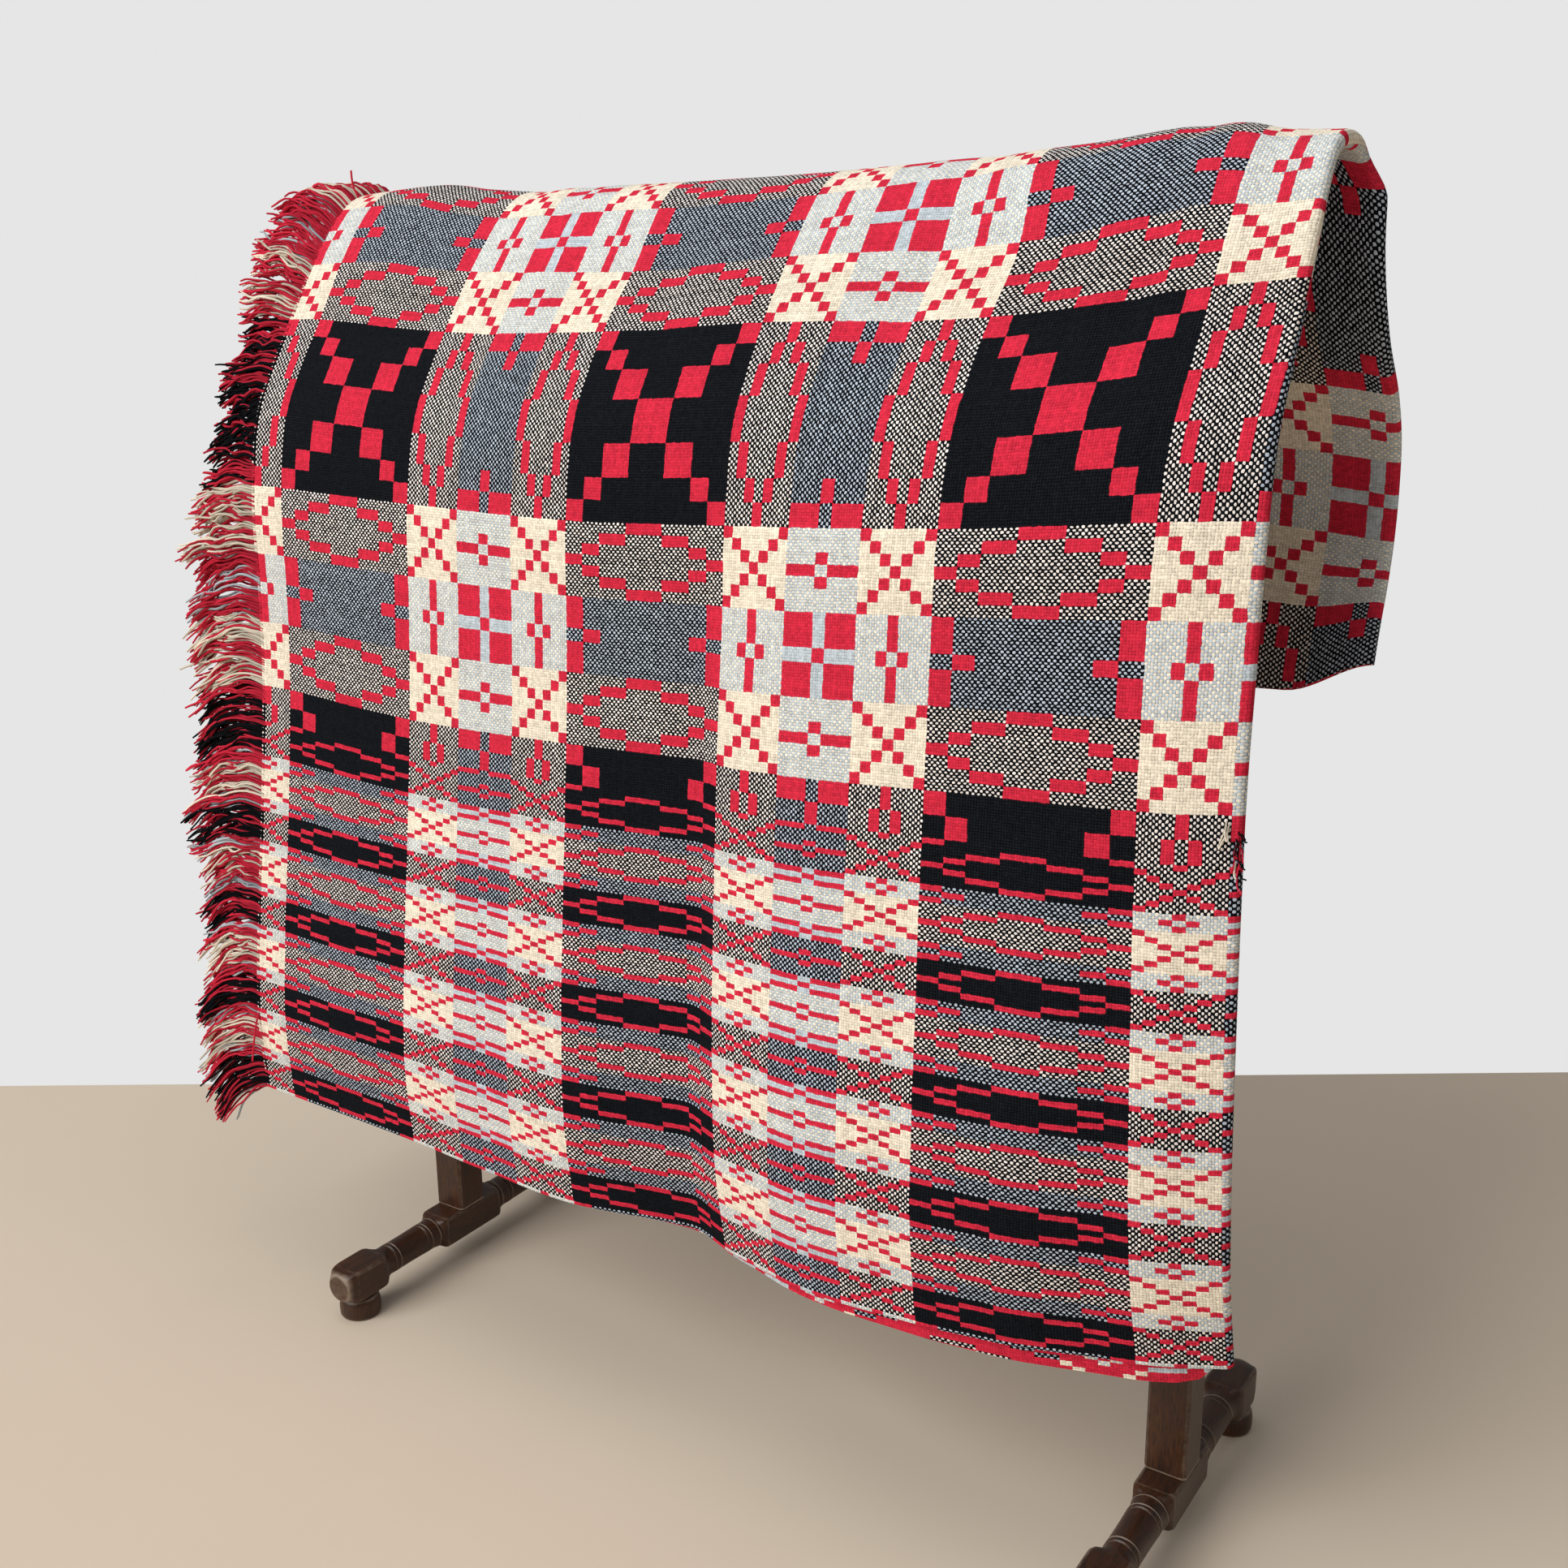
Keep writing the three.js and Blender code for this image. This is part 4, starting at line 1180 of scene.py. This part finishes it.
class BLANKET_OT_fringe(bpy.types.Operator):
    """Hangs the cut warp ends along the blanket's left edge"""

    bl_idname = "blanket.fringe"
    bl_label = "Fringe"

    def execute(self, context):
        cloth = context.scene.blanket_cloth
        fringe = context.scene.blanket_fringe
        material = spun_wool(context.scene.blanket_colours)
        rng = np.random.default_rng(fringe.seed)
        block = cloth.block / MM
        warp = warp_place(FINE_ROWS, block)
        ends = int((warp[0] - warp[-1]) * fringe.per_block)
        places = np.repeat(np.linspace(warp[0] - 0.1, warp[-1] + 0.1, ends), 2)
        layer = np.tile([0, 1], ends)
        paths, dyes, tones = self.lay(cloth, fringe, places, layer, rng)
        rows = row_at(places, block)
        taper = np.interp(np.linspace(0, 1, paths.shape[1]), [0, 0.9, 1], [1, 0.95, 0.7])
        radii = fringe.radius / MM * taper * (0.85 + 0.3 * rng.random((len(paths), 1)))
        for name, low, high in FRINGE_STRETCHES:
            chosen = (rows >= low) & (rows <= high)
            piece = yarn_piece("warp_" + name, paths[chosen], radii[chosen],
                               np.array(dyes)[chosen], tones[chosen], material)
            settle(piece, "fringe", name)
        return {"FINISHED"}

    def lay(self, cloth, fringe, places, layer, rng):
        """Path of each yarn in mm about the stand, with its dye and tone."""
        count = len(places)
        t = np.linspace(0, 1, YARN_STOPS)
        edge, block = np.full(count, cloth.left / MM), cloth.block / MM
        rows = row_at(places, block)
        roots, _, out = drape_frame(edge, rows)
        ply = np.arange(count) // 2 % 2
        depth = -layer * cloth.pitch / MM + PLY_PITCH * (0.5 - ply)
        roots = roots + out * (depth + rng.uniform(-0.5, 0.5, count))[:, None]
        keys, *lay = zip(*FRINGE_LAY)
        sink, arch, forward, share = (eased(keys, column, rows) for column in lay)

        # Yarns fall in locks that share their bend and gather toward the tips
        shifted = places / fringe.lock + 0.5 * layer
        lock = np.floor(shifted + 0.4 * np.sin(places * 1.7 + 2 * layer)).astype(int)
        lock = 2 * (lock - lock.min()) + layer
        middles = np.bincount(lock, places) / np.maximum(np.bincount(lock), 1)
        gathered = drape(edge, row_at(middles[lock], block)) - drape(edge, rows)
        shared = rng.normal(size=(lock.max() + 1, 6))[lock]
        own = rng.normal(size=(count, 6))

        def uneven(what):
            draw, of_lock, of_yarn = FRINGE_SPREAD[what]
            return of_lock * shared[:, draw] + of_yarn * own[:, draw]

        sink = sink + uneven("sink")
        arch = arch + uneven("arch")
        forward = forward + uneven("forward") - 2 * ply
        length = (fringe.length + fringe.spread * uneven("length")) / MM * share
        phase = uneven("phase")
        wave = fringe.wave / MM * (0.7 + 0.4 * np.abs(own[:, 4]))[:, None]
        cycles = (1.7 + 0.3 * shared[:, 4])[:, None]
        swell = smooth_step(t, 0, 0.35)
        turn = 2 * np.pi * cycles * t + phase[:, None]
        waving = np.sin(turn) + 0.2 * np.sin(2.3 * turn + 3 * own[:, 2, None])
        crossing = np.cos(0.9 * turn + own[:, 1, None])
        curl = smooth_step(t, TIP_START, 1) ** 2
        droop = TIP_DROOP * np.abs(own[:, 5, None]) * curl
        gather = fringe.gather * t[:, None] * gathered[:, None]
        length = length + ROOT_INSIDE
        x = roots[:, 0, None] + ROOT_INSIDE - length[:, None] * t
        y = roots[:, 1, None] - forward[:, None] * t ** 1.3 + wave * crossing * swell
        y = y + TIP_CURL * own[:, 0, None] * curl
        z = roots[:, 2, None] + 4 * arch[:, None] * t * (1 - t) - sink[:, None] * t ** 1.6
        z = z + wave * waving * swell + TIP_CURL * own[:, 3, None] * curl - droop
        paths = even_length(np.stack([x, y, z], -1) + gather, length)
        dyed = places + warp_pull(edge, rows)
        pale = np.array([end_yarn(place, 0) in ("cream", "blue") for place in dyed])
        crossed = rng.random(count) < np.where(pale, CROSSED_PALE, CROSSED_DARK)
        dyes = [end_yarn(*end) for end in zip(dyed, ply ^ crossed)]
        hidden = rng.random(count) < BLUE_HIDDEN
        dyes = ["red" if d == "blue" and gone else d for d, gone in zip(dyes, hidden)]
        return paths, dyes, rng.random(count)


class BLANKET_OT_loose_threads(bpy.types.Operator):
    """Pulls a few loose threads out of the fringed edge and the rubbed fold"""

    bl_idname = "blanket.loose_threads"
    bl_label = "Loose threads"

    def execute(self, context):
        cloth = context.scene.blanket_cloth
        fringe = context.scene.blanket_fringe
        rng = np.random.default_rng(fringe.seed + 1)
        t = np.linspace(0, 1, 9)
        front = FINE_ROWS <= CREST_ROW
        edges = {"left": (cloth.left, -1, 0.85), "right": (cloth.right, 1, 0.5)}
        paths, radii = [], []
        for side, height, inside, reach, drop, forward, _ in LOOSE_THREADS:
            edge, sign, thickness = edges[side]
            row = np.interp(height, FINE_SECTION[front, 1], FINE_ROWS[front])
            root = drape(edge / MM - sign * inside, row)
            curl = 2 * (np.sin(5 * t + rng.uniform(0, 6)) * t)
            x = root[0] + sign * reach * t + curl * 0.5
            y = root[1] - forward * t * (1.4 - 0.4 * t)
            z = root[2] - drop * t ** 1.5 + curl
            paths.append(np.stack([x, y, z], -1))
            radii.append(np.full(len(t), fringe.radius / MM * thickness))
        dyes = [row[-1] for row in LOOSE_THREADS]
        piece = yarn_piece("loose_threads", np.array(paths), np.array(radii), dyes,
                           rng.random(len(paths)), bpy.data.materials["spun_wool"])
        settle(piece, "fringe")
        return {"FINISHED"}


class BLANKET_OT_declare(bpy.types.Operator):
    """Takes no action"""

    bl_idname = "blanket.declare"
    bl_label = "Cloth facts"

    def execute(self, context):
        return {"FINISHED"}


class BLANKET_OT_posts(bpy.types.Operator):
    """Stands the square oak posts on the foot beams"""

    bl_idname = "blanket.posts"
    bl_label = "Posts"

    def execute(self, context):
        oak = stained_oak(context.scene.blanket_colours, "Z")
        for side in SIDES:
            low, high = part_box("post_" + side)
            half = (high.x - low.x) / 2
            head = high.z - half
            levels = [(low.z + up, narrow, wear_and_glint_amount) for up, narrow, wear_and_glint_amount in POST_FOOT]
            levels += [(z, 1, 0) for z in np.linspace(low.z + POST_START, head, POST_LEVELS)]
            turns = np.radians(np.linspace(*HEAD_TURNS, HEAD_LEVELS))
            levels += [(head + half * np.sin(t), np.cos(t), HEAD_WEAR_AND_GLINT) for t in turns]
            stations = [(z, half, half * narrow, 1.0, wear_and_glint_amount) for z, narrow, wear_and_glint_amount in levels]
            piece = turned("oak_post_" + side, "Z", (low + high) / 2, stations, POST_POINTS, oak,
                           POST_CORNERS)
            settle(piece, "wood", "post_" + side)
        return {"FINISHED"}


class BLANKET_OT_foot_beams(bpy.types.Operator):
    """Turns the two foot beams with their blocks and rings"""

    bl_idname = "blanket.foot_beams"
    bl_label = "Foot beams"

    def execute(self, context):
        oak = stained_oak(context.scene.blanket_colours, "Y")
        profile = [(-row[0], *row[1:]) for row in reversed(BEAM_PROFILE[1:])] + list(BEAM_PROFILE)
        for side in SIDES:
            low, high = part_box("foot_beam_" + side)
            middle = (low + high) / 2
            stations = [(middle.y + reach * MM, width * MM, height * MM, square, wear_and_glint_amount)
                        for reach, width, height, square, wear_and_glint_amount in profile]
            piece = turned("oak_foot_beam_" + side, "Y", middle, stations, BEAM_POINTS, oak,
                           BEAM_CORNERS)
            settle(piece, "wood", "foot_beam_" + side)
        return {"FINISHED"}


class BLANKET_OT_bun_feet(bpy.types.Operator):
    """Turns the four bun feet"""

    bl_idname = "blanket.bun_feet"
    bl_label = "Bun feet"

    def execute(self, context):
        oak = bpy.data.materials["stained_oak_z"]
        for place in ("front_left", "back_left", "front_right", "back_right"):
            low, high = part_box("bun_foot_" + place)
            radius, height = (high.y - low.y) / 2, high.z - low.z
            stations = [(low.z + height * up, radius * share, radius * share, 0, wear_and_glint_amount)
                        for share, up, wear_and_glint_amount in BUN_PROFILE]
            piece = turned("oak_bun_foot_" + place, "Z", (low + high) / 2, stations, BUN_POINTS,
                           oak)
            settle(piece, "wood", "bun_foot_" + place)
        return {"FINISHED"}


class BLANKET_OT_rails(bpy.types.Operator):
    """Fits the three rails and the two arms that carry them"""

    bl_idname = "blanket.rails"
    bl_label = "Rails and arms"

    def execute(self, context):
        oak = stained_oak(context.scene.blanket_colours, "X")
        for name in ("top_rail", "front_rail", "back_rail"):
            low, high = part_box(name)
            radius = (high.z - low.z) / 2
            places = [(low.x + inside, share) for inside, share in RAIL_ENDS]
            places += [(x, 1) for x in np.linspace(low.x, high.x, RAIL_STEPS)[1:-1]]
            places += [(high.x - inside, share) for inside, share in reversed(RAIL_ENDS)]
            stations = [(x, radius * share, radius * share, 0, RAIL_WEAR_AND_GLINT) for x, share in places]
            piece = turned("oak_" + name, "X", (low + high) / 2, stations, RAIL_POINTS, oak)
            settle(piece, "wood", name)
        oak = bpy.data.materials["stained_oak_y"]
        turns = (np.arange(ARM_POINTS) + 0.5) / ARM_POINTS * 2 * math.pi
        for side in SIDES:
            low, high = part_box("arm_" + side)
            middle = (low + high) / 2
            half_x, half_z = (high.x - low.x) / 2, (high.z - low.z) / 2
            ends = np.sign(np.cos(turns)) * ((high.y - low.y) / 2 - half_z)
            rings, wear = [], []
            for x, share, wear_and_glint_amount in ARM_PROFILE:
                radius = half_z * share
                ring = np.stack([ends + np.cos(turns) * radius, np.sin(turns) * radius], 1)
                rings.append(ring_across("X", middle.x + x * half_x, middle, ring))
                wear.append(np.full(ARM_POINTS, wear_and_glint_amount))
            settle(lofted("oak_arm_" + side, rings, wear, oak), "wood", "arm_" + side)
        return {"FINISHED"}


# Lamps, as place and size, and the point that both face
KEY_LAMP = ((-1.9, -5.2, 4.0), 4.4)
TOP_LAMP = ((-0.3, -0.6, 4.4), 3.2)
LAMP_AIM = Vector((0, 0, 0.45))

# Width of the camera's sensor in mm, and reach of the floor in m
SENSOR_WIDTH = 36
FLOOR_REACH = 9.0


class BLANKET_OT_stage(bpy.types.Operator):
    """Sets the floor, the soft light and the camera"""

    bl_idname = "blanket.stage"
    bl_label = "Stage"

    def execute(self, context):
        stage = context.scene.blanket_stage
        self.lay_floor(stage)
        self.hang_lamp("key_light", *KEY_LAMP, stage.key)
        self.hang_lamp("top_light", *TOP_LAMP, stage.top)
        context.scene.world = self.even_light(stage)
        context.scene.view_settings.view_transform = "Standard"
        lens = bpy.data.cameras.new("camera")
        lens.lens = stage.lens
        lens.sensor_width = SENSOR_WIDTH
        camera = bpy.data.objects.new("camera", lens)
        camera.matrix_world = (
            Matrix.Translation(Vector(stage.camera_place) + STAND_MIDDLE)
            @ Matrix.Rotation(stage.heading, 4, "Z")
            @ Matrix.Rotation(math.pi / 2 - stage.pitch, 4, "X")
            @ Matrix.Rotation(stage.roll, 4, "Z")
        )
        context.scene.collection.objects.link(camera)
        context.scene.camera = camera
        return {"FINISHED"}

    def even_light(self, stage):
        """White surroundings, seen at one strength and lighting at another."""
        world = bpy.data.worlds.new("even_light")
        world.use_nodes = True
        nodes, links = world.node_tree.nodes, world.node_tree.links
        lighting, seen = nodes["Background"], nodes.new("ShaderNodeBackground")
        for background, strength in ((lighting, stage.sky), (seen, stage.seen_sky)):
            background.inputs["Color"].default_value = (1, 1, 1, 1)
            background.inputs["Strength"].default_value = strength
        ray, both = nodes.new("ShaderNodeLightPath"), nodes.new("ShaderNodeMixShader")
        links.new(ray.outputs["Is Camera Ray"], both.inputs[0])
        links.new(lighting.outputs[0], both.inputs[1])
        links.new(seen.outputs[0], both.inputs[2])
        links.new(both.outputs[0], nodes["World Output"].inputs["Surface"])
        return world

    def lay_floor(self, stage):
        """A floor that ends on a level line behind the stand, as the camera sees it."""
        reach, end = FLOOR_REACH, stage.floor_end
        turn = Matrix.Rotation(stage.heading, 4, "Z")
        below = Vector((*stage.camera_place[:2], 0)) + STAND_MIDDLE
        corners = [(-reach, -reach, 0), (reach, -reach, 0), (reach, end, 0), (-reach, end, 0)]
        corners = [below + turn @ Vector(corner) for corner in corners]
        floor = new_mesh("floor", corners, [(0, 1, 2, 3)], floor_finish(stage))

    def hang_lamp(self, name, place, size, power):
        lamp = bpy.data.lights.new(name, "AREA")
        lamp.shape = "SQUARE"
        lamp.size = size
        lamp.energy = power
        holder = bpy.data.objects.new(name, lamp)
        holder.location = place
        holder.rotation_euler = (LAMP_AIM - Vector(place)).to_track_quat("-Z", "Y").to_euler()
        bpy.context.scene.collection.objects.link(holder)


OPERATORS = (
    BLANKET_OT_posts,
    BLANKET_OT_foot_beams,
    BLANKET_OT_bun_feet,
    BLANKET_OT_rails,
    BLANKET_OT_cloth,
    BLANKET_OT_fringe,
    BLANKET_OT_loose_threads,
    BLANKET_OT_declare,
    BLANKET_OT_stage,
)


class BLANKET_PT_panel(bpy.types.Panel):
    """Pieces and settings of the blanket and its rail"""

    bl_idname = "BLANKET_PT_panel"
    bl_label = "Blanket"
    bl_space_type = "VIEW_3D"
    bl_region_type = "UI"
    bl_category = "Blanket"

    def draw(self, context):
        for operator in OPERATORS:
            self.layout.operator(operator.bl_idname)
        for name in SETTINGS:
            box = self.layout.box()
            group = getattr(context.scene, name)
            for key in group.__annotations__:
                box.prop(group, key)


CLASSES = (*SETTINGS.values(), *OPERATORS, BLANKET_PT_panel)


def register():
    for cls in CLASSES:
        bpy.utils.register_class(cls)
    for name, group in SETTINGS.items():
        setattr(bpy.types.Scene, name, bpy.props.PointerProperty(type=group))


def unregister():
    for name in SETTINGS:
        delattr(bpy.types.Scene, name)
    for cls in reversed(CLASSES):
        bpy.utils.unregister_class(cls)


def main():
    register()
    bpy.ops.blanket.posts()
    bpy.ops.blanket.foot_beams()
    bpy.ops.blanket.bun_feet()
    bpy.ops.blanket.rails()
    bpy.ops.blanket.cloth()
    bpy.ops.blanket.fringe()
    bpy.ops.blanket.loose_threads()
    bpy.ops.blanket.declare()
    bpy.ops.blanket.stage()


if __name__ == "__main__":
    main()
